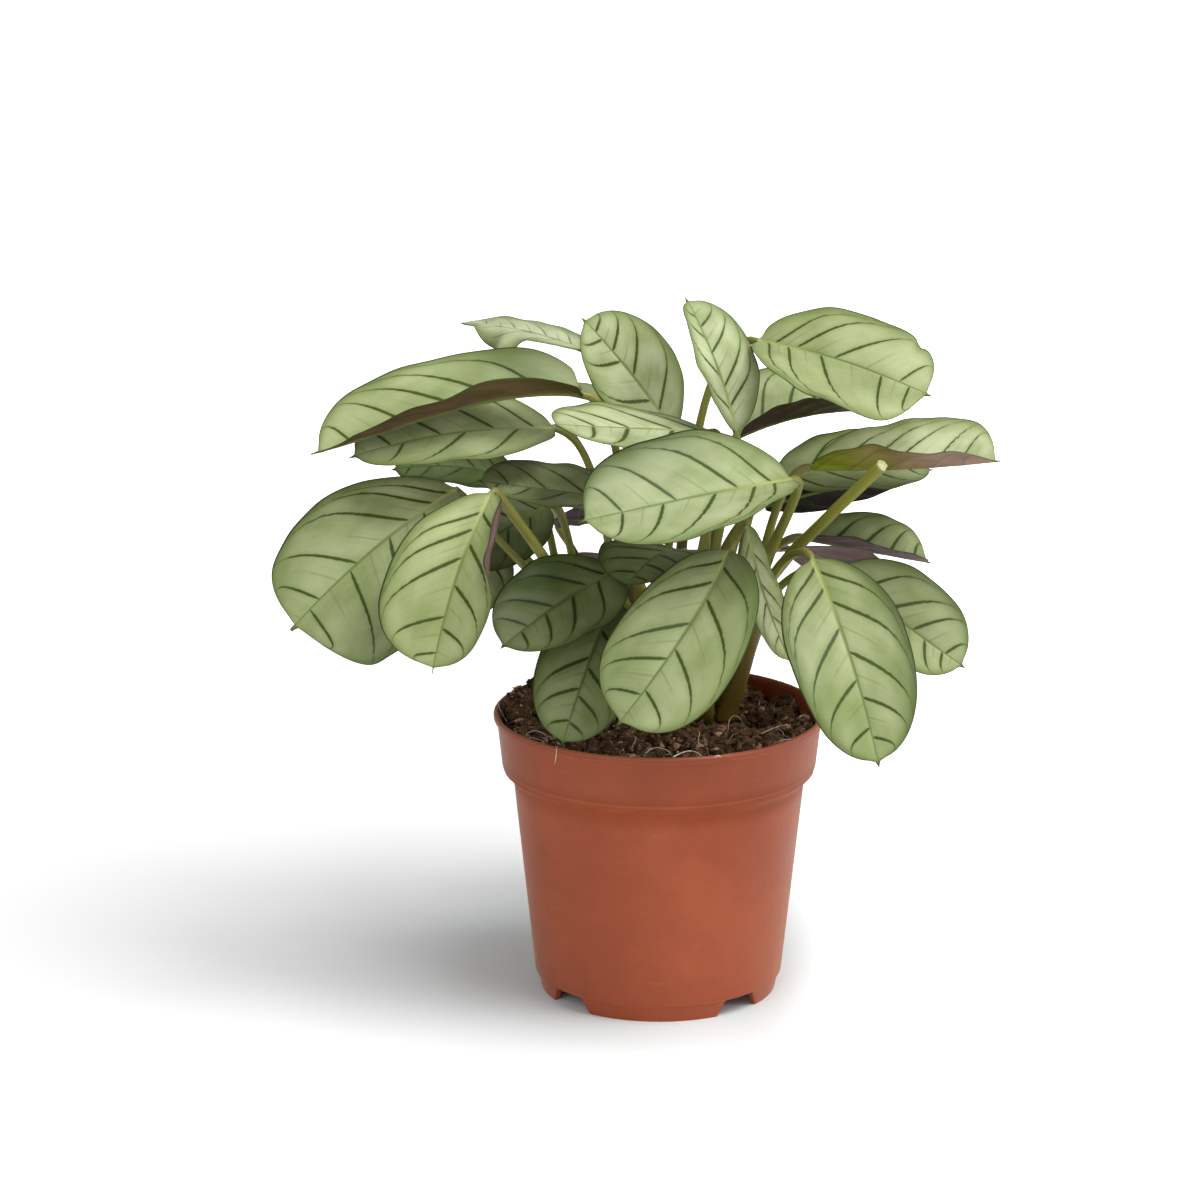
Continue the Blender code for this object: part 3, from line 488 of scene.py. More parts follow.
def stalk_finish(look):
    """Olive green, browner at the foot, yellow at the joint, with fine lengthwise streaks."""
    finish = Finish("stalk_skin", 0.42)
    down, turn, seed = finish.split(finish.attribute("stalk"))
    streak = finish.noise(finish.join(down * 0.02, turn * 5.0, seed), 3.0, 4.0, 0.6)
    colour = finish.mix(finish.step(down + streak * 20.0, 55.0, 110.0), look.green, look.brown)
    colour = finish.mix(finish.step(down, 5.0, 12.0, 0.8, 0.0), colour, look.joint)
    finish.set("Base Color", finish.lit(colour, finish.step(streak, 0.25, 0.75, 0.75, 1.25)))
    finish.bump(streak, 0.0002, 0.4)
    return finish.material


def grain_finish(name, light, dark, scale, roughness=0.5, detail=3.0, edges=(0.3, 0.7), depth=0.0003,
                 strength=0.5):
    """A small piece, or a cut end, whose colour varies from grain to grain."""
    finish = Finish(name, roughness)
    grain = finish.noise(finish.place(), scale, detail, 0.6)
    finish.set("Base Color", finish.mix(finish.step(grain, *edges), dark, light))
    finish.bump(grain, depth, strength)
    return finish.material


def pot_finish(look):
    """Satin moulded plastic with a dry film under the rim, small scratches, soft unevenness, painted shade
    and highlights.
    """
    finish = Finish("terracotta_plastic")
    place = finish.place()
    height = finish.split(place)[2]
    cloud, blotch = finish.noise(place, 22.0, 4.0, 0.55), finish.noise(place, 75.0, 3.0, 0.6, 0.6)
    under = abs(height - COLLAR_SHADE * MM)
    film = finish.step(height, 0.080, 0.104, 0.12, 0.04) * finish.step(cloud, 0.45, 0.75)
    colour = finish.mix(film, look.colour, look.dust)
    colour = finish.lit(colour, finish.step(cloud, 0.25, 0.75, 0.92, 1.07)
                        * finish.step(blotch, 0.3, 0.7, 0.955, 1.04))
    # Painted shade: the collar darker than the body, where the leaves shade it, and a darker band under the
    # collar, where the collar shades the body.
    colour = finish.lit(colour, finish.step(height, 0.0845, 0.0855, 1.0, 0.86)
                        * finish.step(under, 0.001, 0.0095, 0.87, 1.0))
    # Painted highlights: thin paler lines along the rim's top and the collar's lower edge, where these edges
    # catch the light.
    for edge, reach, highlight_share in ((POT_HEIGHT, 0.0009, 0.28), (COLLAR_EDGE, 0.0005, 0.14)):
        off_edge = abs(height - edge * MM)
        colour = finish.mix(finish.step(off_edge, reach * 0.4, reach, highlight_share, 0.0), colour, look.painted_edge_highlight)
    stretched = finish.node("ShaderNodeMapping", {"Vector": place, "Scale": (60.0, 60.0, 900.0)},
                            vector_type="POINT")
    scratch = finish.step(finish.noise(stretched, 1.0, 2.0, 0.4), 0.70, 0.76)
    finish.set("Base Color", finish.mix(scratch * 0.25, colour, look.dust))
    finish.set("Roughness", finish.step(cloud + scratch * 0.3, 0.2, 0.9, look.roughness - 0.06,
                                        look.roughness + 0.12))
    finish.set("Specular IOR Level", finish.step(under, 0.0020, 0.0080, 0.15, 0.32))
    finish.set("Sheen Weight", finish.step(under, 0.0020, 0.0080, 0.10, 0.35))
    finish.set("Sheen Roughness", 0.35)
    finish.set("Sheen Tint", (1.0, 0.60, 0.38))
    finish.bump(finish.noise(place, 900.0, 2.0, 0.5) + blotch * 3.0, 0.00014, 0.4)
    return finish.material


def soil_finish(look, name="peat"):
    """Damp peat, near black with painted shade in the gaps, and dry on the high crumbs."""
    finish = Finish(name, 0.9)
    place = finish.place()
    lumps, crumbs = finish.noise(place, 330.0, 4.0, 0.65), finish.noise(place, 1500.0, 3.0, 0.6)
    mixed = (finish.split(finish.attribute("rise"))[0] + lumps * 1.1) + crumbs * 0.8
    # Painted shade in the low gaps between the clods.
    colour = finish.mix(finish.step(mixed, 1.16, 1.56), look.gap, look.peat)
    finish.set("Base Color", finish.mix(finish.step(mixed, 1.54, 1.9), colour, look.dry))
    finish.set("Specular IOR Level", 0.25)
    finish.bump(lumps + crumbs, 0.0014, 0.9)
    return finish.material


# ---- making meshes -----------------------------------------------------------
def to_frame(points):
    """From millimetres about the pot's axis to metres in the frame."""
    return np.asarray(points, dtype=float) * MM + np.array(POT_AXIS)


def link(name, data):
    made = bpy.data.objects.new(name, data)
    bpy.context.collection.objects.link(made)
    return made


def add_piece(name, mesh, node):
    """Link a mesh as a piece of the plant and the solid it stands for."""
    mesh.validate()
    piece = link(name, mesh)
    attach(piece, "root")
    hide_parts(node)


def mesh_from(name, points, faces, materials, kinds=None, smooth=True, **values):
    """A mesh with its materials, which face has which, and the vectors stored at its corners."""
    mesh = bpy.data.meshes.new(name)
    mesh.from_pydata([tuple(point) for point in points], [], faces)
    for material in materials:
        mesh.materials.append(material)
    if smooth:
        mesh.shade_smooth()
    if kinds is not None:
        mesh.polygons.foreach_set("material_index", kinds)
    for key, vectors in values.items():
        attribute = mesh.attributes.new(key, "FLOAT_VECTOR", "CORNER")
        vectors = np.broadcast_to(np.asarray(vectors, dtype=np.float32), (len(mesh.loops), 3))
        attribute.data.foreach_set("vector", vectors.ravel())
    return mesh


def quad_corners(rings, count):
    """Ring and slot of the four corners of each face between rings of points."""
    ring, slot = np.divmod(np.arange((rings - 1) * count), count)
    return ring[:, None] + (0, 0, 1, 1), slot[:, None] + (0, 1, 1, 0)


def quad_faces(rings, count, start=0):
    ring, slot = quad_corners(rings, count)
    return (start + ring * count + slot % count).tolist()


def fan(ring, middle, inward=False):
    """Triangles from a ring of points to one in its middle."""
    pairs = zip(ring, (*ring[1:], ring[0]))
    return [(b, a, middle) if inward else (a, b, middle) for a, b in pairs]


def circle(count):
    return np.arange(count) * (2.0 * math.pi / count)


def unit(vectors):
    return vectors / np.linalg.norm(vectors, axis=-1, keepdims=True)


def smooth_step(low, high, value):
    share = np.clip((value - low) / (high - low), 0.0, 1.0)
    return share * share * (3.0 - 2.0 * share)


def facing(turn, tilt):
    turn, tilt = math.radians(turn), math.radians(tilt)
    return np.array((math.cos(turn) * math.cos(tilt), math.sin(turn) * math.cos(tilt), math.sin(tilt)))


def half_width_share(t, leaf):
    """Half width of a blade at t: rounded at the stalk, blunt with a short spike at the tip."""
    widest = leaf.get("widest", 0.46)
    e, m = t / BODY_SHARE, widest / BODY_SHARE
    low = (1.0 - np.clip(1.0 - e / m, 0.0, 1.0) ** 2) ** leaf.get("shoulder", SHOULDER)
    high = np.clip(1.0 - np.clip((e - m) / (1.0 - m), 0.0, 1.0) ** leaf.get("blunt", BLUNT), 0.0, 1.0) ** 0.5
    body = np.where(e < m, low, high)
    spike = leaf.get("spike", SPIKE_SHARE) * np.minimum(1.0, (1.0 - t) / (1.0 - SPIKE_START)) ** 1.3
    spike = np.where(t > 0.5, spike, 0.0)
    return (body ** 3 + spike ** 3) ** (1.0 / 3.0)


class Blade:
    """The middle surface of one leaf blade; t runs from stalk to tip, v from -1 to 1 across."""

    def __init__(self, leaf, bites=(), roll=None):
        self.leaf, self.bites, self.roll = leaf, bites, roll
        self.base, self.tip = np.array(leaf["base"], float), np.array(leaf["tip"], float)
        self.length = np.linalg.norm(self.tip - self.base)
        self.along = (self.tip - self.base) / self.length
        up = facing(*leaf["face"])
        self.up = unit(up - self.along * up.dot(self.along))
        self.side = np.cross(self.along, self.up)

    def rib(self, t):
        t = np.asarray(t, float)[..., None]
        leaf = self.leaf
        arc = 4.0 * t * (1.0 - t) * self.length
        lift = arc * leaf.get("bow", 0.0) * (1.0 + leaf.get("skew", 0.0) * (2.0 * t - 1.0))
        drift = arc * leaf.get("sway", 0.0)
        return self.base + self.along * (self.length * t) + self.up * lift + self.side * drift

    def frame(self, t):
        step = 0.001
        along = unit(self.rib(np.minimum(1.0, t + step)) - self.rib(np.maximum(0.0, t - step)))
        up = unit(self.up - along * (along @ self.up)[..., None])
        side = np.cross(along, up)
        turn = np.radians(self.leaf.get("twist", 0.0)) * (t - 0.5)[..., None]
        return side * np.cos(turn) - up * np.sin(turn), up * np.cos(turn) + side * np.sin(turn)

    def amount(self, key, t, right):
        start, end = self.leaf.get(key, (0.0, 0.0))
        if not right:
            start, end = self.leaf.get(key + "_left", (start, end))
        return np.radians(start + (end - start) * t)

    def half(self, t, w, right):
        """Points, normals and millimetres across, for one half of the blade; w runs from midrib to margin."""
        leaf = self.leaf
        side, up = self.frame(t)
        half = leaf["width"] / 2.0
        lop = leaf.get("lop", 1.0)
        share = half_width_share(t, leaf)
        for where, depth, length, on_right in self.bites:
            if on_right == right:
                share = np.maximum(share - depth / half * np.exp(-((t - where) / length) ** 2), 0.02)
        share = share * (lop if right else leaf.get("slim", 2.0 - lop))
        reach = np.outer(share * half, w)
        fold = self.amount("fold", t, right)[:, None]
        curl = self.amount("curl", t, right)[:, None] / half
        lean = fold + curl * reach
        bent = np.where(np.abs(curl) < 1e-5, 1e-5, curl)
        across = (np.sin(fold + bent * reach) - np.sin(fold)) / bent
        rise = (np.cos(fold) - np.cos(fold + bent * reach)) / bent
        if self.roll and self.roll[0] == right:
            across, rise, lean = self.rolled(t, reach, across, rise, lean)
        hand = 1.0 if right else -1.0
        side, up = side[:, None, :] * hand, up[:, None, :]
        points = self.rib(t)[:, None, :] + side * across[..., None] + up * rise[..., None]
        return points, up * np.cos(lean)[..., None] - side * np.sin(lean)[..., None], reach

    def rolled(self, t, reach, across, rise, lean):
        """Roll the last part of one half up and over, most in the middle of the rolled stretch."""
        _, start, turn, low, high = self.roll
        edge = start * reach[:, -1:]
        amount = np.radians(turn) * np.sin(math.pi * np.clip((t - low) / (high - low), 0.0, 1.0))[:, None]
        share = np.clip((reach - edge) / (reach[:, -1:] - edge + 1e-9), 0.0, 1.0)
        steps = np.diff(reach, axis=1, prepend=reach[:, :1])
        lean = lean + amount * share
        return np.cumsum(steps * np.cos(lean), axis=1), np.cumsum(steps * np.sin(lean), axis=1), lean


def vein_start(t, w):
    """Where the side vein that passes each point left the midrib.

    A vein runs slantwise towards the tip, and those that start low turn along the margin.
    """
    starts = np.linspace(-1.0, 1.3, 461)
    inside = np.clip(starts, 0.0, 1.0)
    slant = 0.55 * (1.0 - inside) * (0.35 + 0.65 * smooth_step(0.0, 0.5, inside))
    sweep = 0.5 * np.clip(1.0 - inside / 0.55, 0.0, 1.0) ** 1.5
    found = np.empty((len(t), len(w)))
    for column, across in enumerate(w):
        advance = slant * (0.9 * across + 0.3 * across ** 4) + sweep * across ** 12
        found[:, column] = np.interp(t, np.maximum.accumulate(starts + advance), starts)
    return found


def band_phase(t, w, bands):
    """A number that is whole on each dark band."""
    gaps = np.diff(bands)
    marks = np.concatenate(([bands[0] - 20 * gaps[0]], bands, [bands[-1] + 20 * gaps[-1]]))
    numbers = np.concatenate(([-20.0], np.arange(len(bands)), [len(bands) + 19.0]))
    return np.interp(vein_start(t, w), marks, numbers)


def band_gap(phase, points, t, w):
    """Millimetres between neighbouring bands, measured straight across them."""
    by_t, by_w = np.gradient(phase, t, axis=0), np.gradient(phase, w, axis=1)
    along, across = np.gradient(points, t, axis=0), np.gradient(points, w, axis=1)
    aa = (along * along).sum(-1)
    ab = (along * across).sum(-1)
    bb = (across * across).sum(-1) + 1e-6
    area = np.maximum(aa * bb - ab * ab, 1e-6)
    steepness = (by_t ** 2 * bb - 2.0 * by_t * by_w * ab + by_w ** 2 * aa) / area
    return 1.0 / np.sqrt(np.maximum(steepness, 1e-4))


def stalk_curve(leaf, blade):
    foot = np.array(leaf["root"] if len(leaf["root"]) == 3 else (*leaf["root"], GROUND), float)
    heading = np.array(leaf.get("heading", blade.rib(0.02) - blade.base), float)
    heading = unit(heading)
    offset = blade.base - foot
    lean = leaf.get("lean", LEAN)
    first = foot + np.array((offset[0] * lean, offset[1] * lean, leaf["rise"]))
    return foot, first, blade.base - heading * leaf["reach"], blade.base


def curve_points(controls, t):
    a, b, c, d = controls
    t = np.asarray(t)[:, None]
    s = 1.0 - t
    return a * s ** 3 + b * (3 * s * s * t) + c * (3 * s * t * t) + d * t ** 3


def carried_frames(path, side):
    """Carry a sideways direction back along a path, from its last point to its first."""
    frames = []
    for i in range(len(path) - 1, -1, -1):
        along = unit(path[min(i + 1, len(path) - 1)] - path[max(i - 1, 0)])
        side = unit(side - along * side.dot(along))
        frames.append((side, np.cross(side, along)))
    frames.reverse()
    return frames


def ring_points(middle, side, up, radius, count):
    angles = circle(count)[:, None]
    return middle + (-np.cos(angles) * side + np.sin(angles) * up) * radius


def soil_lumps(x, y):
    """How far the clods and crumbs rise at one place, in millimetres."""
    wander = noise.noise_vector(Vector((x * 0.15, y * 0.15, 1.7))) * 3.0
    clod = noise.voronoi(Vector((x + wander.x, y + wander.y, 0.0)) / 6.0)[0][0]
    return (5.5 * (0.42 - clod) + 2.6 * noise.fractal(Vector((x * 0.11, y * 0.11, 3.1)), 0.8, 2.1, 4)
            + 0.8 * noise.noise(Vector((x * 0.9, y * 0.9, 5.3))))


def soil_height(x, y):
    """Height of the soil's rough top, in millimetres."""
    height = SOIL_TOP
    for cx, cy, reach, rise in SOIL_MOUNDS:
        height += rise * math.exp(-((x - cx) ** 2 + (y - cy) ** 2) / reach ** 2)
    return min(height + soil_lumps(x, y), SOIL_CEILING)


class LeafShape:
    """Every point of one leaf, ring by ring from the foot of the stalk to the tip."""

    def __init__(self, number, name, look):
        self.leaf = LEAVES[name]
        self.extra = LOOKS.get(name, {})
        self.look = look
        self.number = number
        self.blade = Blade(self.leaf, self.extra.get("bites", ()), self.extra.get("roll"))
        self.halves = len(HALF_COLUMNS)
        self.corners = 4 * self.halves
        self.rings = []
        self.place_blade()
        self.place_stalk()

    def margin_wave(self, t, w, right):
        """Small waves near the margin, different on each leaf and side."""
        rng = random.Random(100 * self.number + int(right))
        wave = np.zeros((len(t), len(w)))
        for turns in (3.0, 5.5, 9.0):
            start = rng.uniform(0.0, 2.0 * math.pi)
            size = rng.uniform(0.5, 1.0) / turns * 4.0
            wave += size * np.sin(turns * math.pi * t + start)[:, None] * (w ** 2.5)[None, :]
        return wave * (np.sin(math.pi * t) ** 0.5)[:, None] * self.extra.get("ripple", 1.0)

    def place_half(self, t, w, right):
        starts = np.array(self.extra.get("bands", PLAIN_BANDS)[0 if right else 1])
        points, normals, across = self.blade.half(t, w, right)
        phase = band_phase(t, w, starts)
        gap = band_gap(phase, points, t, w)
        nearest = np.round(phase)
        real = (nearest >= 0) & (nearest <= len(starts) - 1)
        swell = (0.35 + 0.65 * smooth_step(0.0, 0.12, w)) * (1.0 - 0.70 * smooth_step(0.30, 1.0, w))
        width = np.where(real, 1.0, 0.0) * swell[None, :] * self.extra.get("band_width", 0.62)
        width *= np.clip(1.15 - 0.35 * np.abs(t - 0.45)[:, None] * 2.0, 0.4, 1.2)
        lift = (2.0 * np.abs(np.sin(math.pi * phase)) ** 0.8 - 1.0) * np.sin(math.pi * w) ** 0.7
        lift *= self.look.pleat / MM * (np.sin(math.pi * t) ** 0.6)[:, None]
        lift += self.margin_wave(t, w, right) * self.look.ripple / MM
        points = points + normals * lift[..., None]
        margin = across[:, -1:] - across
        margin = np.minimum(margin, ((1.0 - t) * self.blade.length)[:, None] + 0.3)
        hand = 1.0 if right else -1.0
        return points, normals, phase, gap, width, across * hand, margin

    def place_blade(self):
        rows = np.arange(1, BLADE_ROWS)
        self.t = 0.5 - 0.5 * np.cos(math.pi * rows / BLADE_ROWS)
        w = np.array((0.0,) + HALF_COLUMNS)
        left, right = self.place_half(self.t, w, False), self.place_half(self.t, w, True)
        self.stored = np.array([[*left[2:], self.painted_shading_of_half(False)], [*right[2:], self.painted_shading_of_half(True)]])
        points, normals, across = (np.concatenate((left[part][:, ::-1], right[part][:, 1:]), axis=1)
                                   for part in (0, 1, 5))
        half = self.look.thickness / MM / 2.0
        share = np.abs(np.concatenate((-w[::-1], w[1:])))
        thin = half * (1.0 - 0.6 * share ** 4)[None, :]
        groove = GROOVE_DEPTH * np.exp(-(across / GROOVE_WIDTH) ** 2) * smooth_step(1.0, 0.7, self.t)[:, None]
        rib = (STALK_TOP * (1.0 - self.t) ** 0.8)[:, None] * np.exp(-(across / 1.3) ** 2)
        upper = points + normals * (thin - groove)[..., None]
        lower = points - normals * (thin + rib)[..., None]
        side, up = self.blade.frame(self.t)
        middle = self.blade.rib(self.t)
        for i in range(len(self.t)):
            ring = np.concatenate((upper[i], lower[i][-2:0:-1]))
            share = smooth_step(0.0, 0.035, self.t[i])
            if share < 1.0:
                round_ring = ring_points(middle[i], side[i], up[i], STALK_TOP, self.corners)
                ring = round_ring * (1.0 - share) + ring * share
            self.rings.append(ring)

    def place_stalk(self):
        t = np.arange(STALK_ROWS) / STALK_ROWS
        path = curve_points(stalk_curve(self.leaf, self.blade), t)
        whole = np.vstack((path, self.blade.base))
        frames = carried_frames(whole, self.blade.frame(np.array([0.0]))[0][0])
        lengths = np.linalg.norm(np.diff(whole, axis=0), axis=1)
        self.down = np.concatenate((np.cumsum(lengths[::-1])[::-1], [0.0]))
        rings = []
        for i, point in enumerate(path):
            radius = (STALK_LOW + (STALK_TOP - STALK_LOW) * i / STALK_ROWS) * self.extra.get("stalk", 1.12)
            radius += JOINT_SWELL * math.exp(-(self.down[i] / JOINT_HALF - 1.0) ** 2)
            rings.append(ring_points(point, *frames[i], radius, self.corners))
        rings[0][:, 2] = path[0][2]
        self.stalk_rings = len(rings)
        self.rings = rings + self.rings

    def painted_shading_of_half(self, right):
        """How much painted shading darkens each point of one half: the leaf's own and its patches."""
        across = np.array((0.0,) + HALF_COLUMNS)[None, :] * (1.0 if right else -1.0)
        along = self.t[:, None]
        painted_shading = np.full((len(self.t), len(HALF_COLUMNS) + 1), self.extra.get("painted_shading", 0.0))
        # Patches of painted shade, and of painted light where the amount is below zero.
        for t, v, reach_t, reach_v, amount in self.extra.get("painted_shading_patches", ()):
            painted_shading += amount * np.exp(-((along - t) / reach_t) ** 2 - ((across - v) / reach_v) ** 2)
        return painted_shading

    def build(self, name, materials):
        count, half = self.corners, self.halves
        points = np.concatenate(self.rings + [self.blade.tip[None, :], self.rings[0].mean(0)[None, :]])
        tip, foot = len(points) - 2, len(points) - 1
        rings, slots = quad_corners(len(self.rings), count)
        rows = rings - self.stalk_rings
        on_blade = (rows >= 0)[..., None]
        upper = slots[:, 0] < 2 * half
        left = np.where(upper, slots[:, 0], count - 1 - slots[:, 0]) < half
        wrapped = slots % count
        column = np.where(wrapped <= 2 * half, wrapped, count - wrapped)
        k = np.clip(np.where(left[:, None], half - column, column - half), 0, half)
        found = self.stored[np.where(left, 0, 1)[:, None], :, np.maximum(rows, 0), k]
        # The tone attribute carries each point's yellow, silver and painted shading.
        yellow, silver = self.extra.get("yellow", 0.0), self.extra.get("silver", 0.0)
        tones = np.stack(np.broadcast_arrays(yellow, silver, found[..., 5]), axis=-1)
        places = np.stack((self.t[np.maximum(rows, 0)], found[..., 3], found[..., 4]), axis=-1)
        stalks = np.stack(np.broadcast_arrays(self.down[np.minimum(rings, STALK_ROWS)], slots / count,
                                              float(self.number)), axis=-1)
        plain_tone = (yellow, silver, self.extra.get("painted_shading", 0.0))
        no_band, on_stalk = (0.0, 10.0, 0.0), (0.0, 0.0, 5.0)

        def corners(values, at_tip, at_foot):
            return np.vstack((values.reshape(-1, 3), np.tile(at_tip, (3 * count, 1)),
                              np.tile(at_foot, (3 * count, 1))))

        faces = quad_faces(len(self.rings), count) + fan(range(tip - count, tip), tip)
        faces += fan(range(count), foot, True)
        kinds = np.where(rings[:, 0] >= self.stalk_rings + 2, np.where(upper, 0, 1), 2).tolist()
        kinds += [0 if slot < 2 * half else 1 for slot in range(count)] + [2] * count
        under = self.extra.get("under", tuple(self.look.under))
        return mesh_from(
            name, to_frame(points), faces, materials, kinds,
            stalk=corners(stalks, (0.0, 0.0, self.number), (self.down[0], 0.0, self.number)),
            vein=corners(np.where(on_blade, found[..., :3], no_band), no_band, no_band),
            place=corners(np.where(on_blade, places, on_stalk), (1.0, 0.0, 0.2), on_stalk),
            tone=corners(np.where(on_blade, tones, plain_tone), plain_tone, plain_tone),
            under=under, under_tip=self.extra.get("under_tip", under))


# ---- operators ---------------------------------------------------------------
class CTENANTHE_OT_grow_leaves(bpy.types.Operator):
    """Grow every leaf, each a stalk that flattens into a banded blade"""
    bl_idname = "ctenanthe.grow_leaves"
    bl_label = "Grow Leaves"

    def execute(self, context):
        look = context.scene.ctenanthe_leaf
        stalk = stalk_finish(context.scene.ctenanthe_stalk)
        materials = [upper_side_finish(look), underside_finish(look), stalk]
        for number, name in enumerate(LEAVES):
            mesh = LeafShape(number, name, look).build(name + "_grown", materials)
            add_piece(name + "_grown", mesh, name)
        return {"FINISHED"}


class CTENANTHE_OT_grow_shoots(bpy.types.Operator):
    """Grow the sheathed main shoot and the stalk whose leaf was cut off"""
    bl_idname = "ctenanthe.grow_shoots"
    bl_label = "Grow Shoots"

    def execute(self, context):
        look = context.scene.ctenanthe_stalk
        skin = stalk_finish(look)
        cut = grain_finish("stalk_cut_end", look.cut, look.green, 2500.0, 0.5, 2.0, (0.35, 0.6), 0.0002, 0.6)
        cut_radii = [CUT_RADIUS] * len(CUT_STALK)
        self.tube("main_shoot", SHOOT_PATH, SHOOT_RADII, skin, skin, self.sheath, (140.0, 40.0))
        self.tube("cut_stalk", CUT_STALK, cut_radii, skin, cut, self.channel, (60.0, 15.0))
        return {"FINISHED"}

    @staticmethod
    def sheath(angles, t):
        """The lapped edges of the sheaths that wrap the shoot."""
        lap = np.mod(angles - 4.3 - 0.5 * t, 2.0 * math.pi) / (2.0 * math.pi)
        inner = np.mod(angles - 5.6 + 0.3 * t, 2.0 * math.pi) / (2.0 * math.pi)
        return 0.55 * lap ** 6 + 0.35 * inner ** 10 - 0.2

    @staticmethod
    def channel(angles, t):
        """The groove along the upper side of a stalk."""
        return -0.75 * np.exp(-((angles - 0.5 * math.pi) / 0.45) ** 2)

    def tube(self, name, path, radii, skin, end, profile, down):
        """A tapering tube; down is how far below a blade its two ends are taken to be."""
        steps, count = TUBE_RINGS, TUBE_SIDES
        t = np.linspace(0.0, len(path) - 1, steps)
        knots = np.arange(len(path))
        centre = np.stack([np.interp(t, knots, [p[k] for p in path]) for k in range(3)], axis=1)
        radius = np.interp(t, knots, radii)
        frames = carried_frames(centre, np.array((0.0, 1.0, 0.0)))
        around = [c + (ring_points(c, *f, 1.0, count) - c) * (r + profile(circle(count), share))[:, None]
                  for c, f, r, share in zip(centre, frames, radius, t)]
        around[0][:, 2] = path[0][2]
        points = np.concatenate(around + [centre[:1], centre[-1:]])
        rings, slots = quad_corners(steps, count)
        stalk = np.stack(np.broadcast_arrays(down[0] + (down[1] - down[0]) * rings / steps, slots / count,
                                             50.0 + len(path)), axis=-1)
        stalk = np.vstack((stalk.reshape(-1, 3), [(70.0, 0.0, 50.0)] * (3 * count),
                           [(0.0, 0.0, 50.0)] * (3 * count)))
        total = steps * count
        faces = quad_faces(steps, count) + fan(range(count), total, True)
        kinds = [0] * len(faces) + [1] * count
        faces += fan(range(total - count, total), total + 1)
        mesh = mesh_from(name + "_grown", to_frame(points), faces, [skin, end], kinds, stalk=stalk)
        add_piece(name + "_grown", mesh, name)


class CTENANTHE_OT_mould_pot(bpy.types.Operator):
    """Mould the pot, with every edge slightly rounded"""
    bl_idname = "ctenanthe.mould_pot"
    bl_label = "Mould Pot"

    def execute(self, context):
        look = context.scene.ctenanthe_pot
        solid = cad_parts["pot"]
        mesh = solid.data.copy()
        mesh.transform(solid.matrix_world)
        mesh.materials.clear()
        mesh.materials.append(pot_finish(look))
        form = bmesh.new()
        form.from_mesh(mesh)
        bmesh.ops.remove_doubles(form, verts=form.verts, dist=1e-5)
        bmesh.ops.dissolve_limit(form, angle_limit=math.radians(1.0), verts=form.verts, edges=form.edges)
        neck = [edge for edge in self.corners(form) if not edge.is_convex
                and all(abs(vert.co.z / MM - COLLAR_NECK) < 0.2 for vert in edge.verts)]
        self.bevel(form, neck, look.neck, 5)
        self.bevel(form, self.corners(form), look.edge, 3)
        bmesh.ops.triangulate(form, faces=[face for face in form.faces if len(face.verts) > 4])
        form.to_mesh(mesh)
        form.free()
        mesh.shade_smooth()
        mesh.set_sharp_from_angle(angle=math.radians(35.0))
        add_piece("pot_moulded", mesh, "pot")
        return {"FINISHED"}

    @staticmethod
    def corners(form):
        return [edge for edge in form.edges if edge.calc_face_angle(0.0) > CORNER_ANGLE]

    @staticmethod
    def bevel(form, edges, offset, segments):
        bmesh.ops.bevel(form, geom=edges, offset=offset, offset_type="OFFSET", segments=segments, profile=0.5,
                        affect="EDGES", clamp_overlap=True)


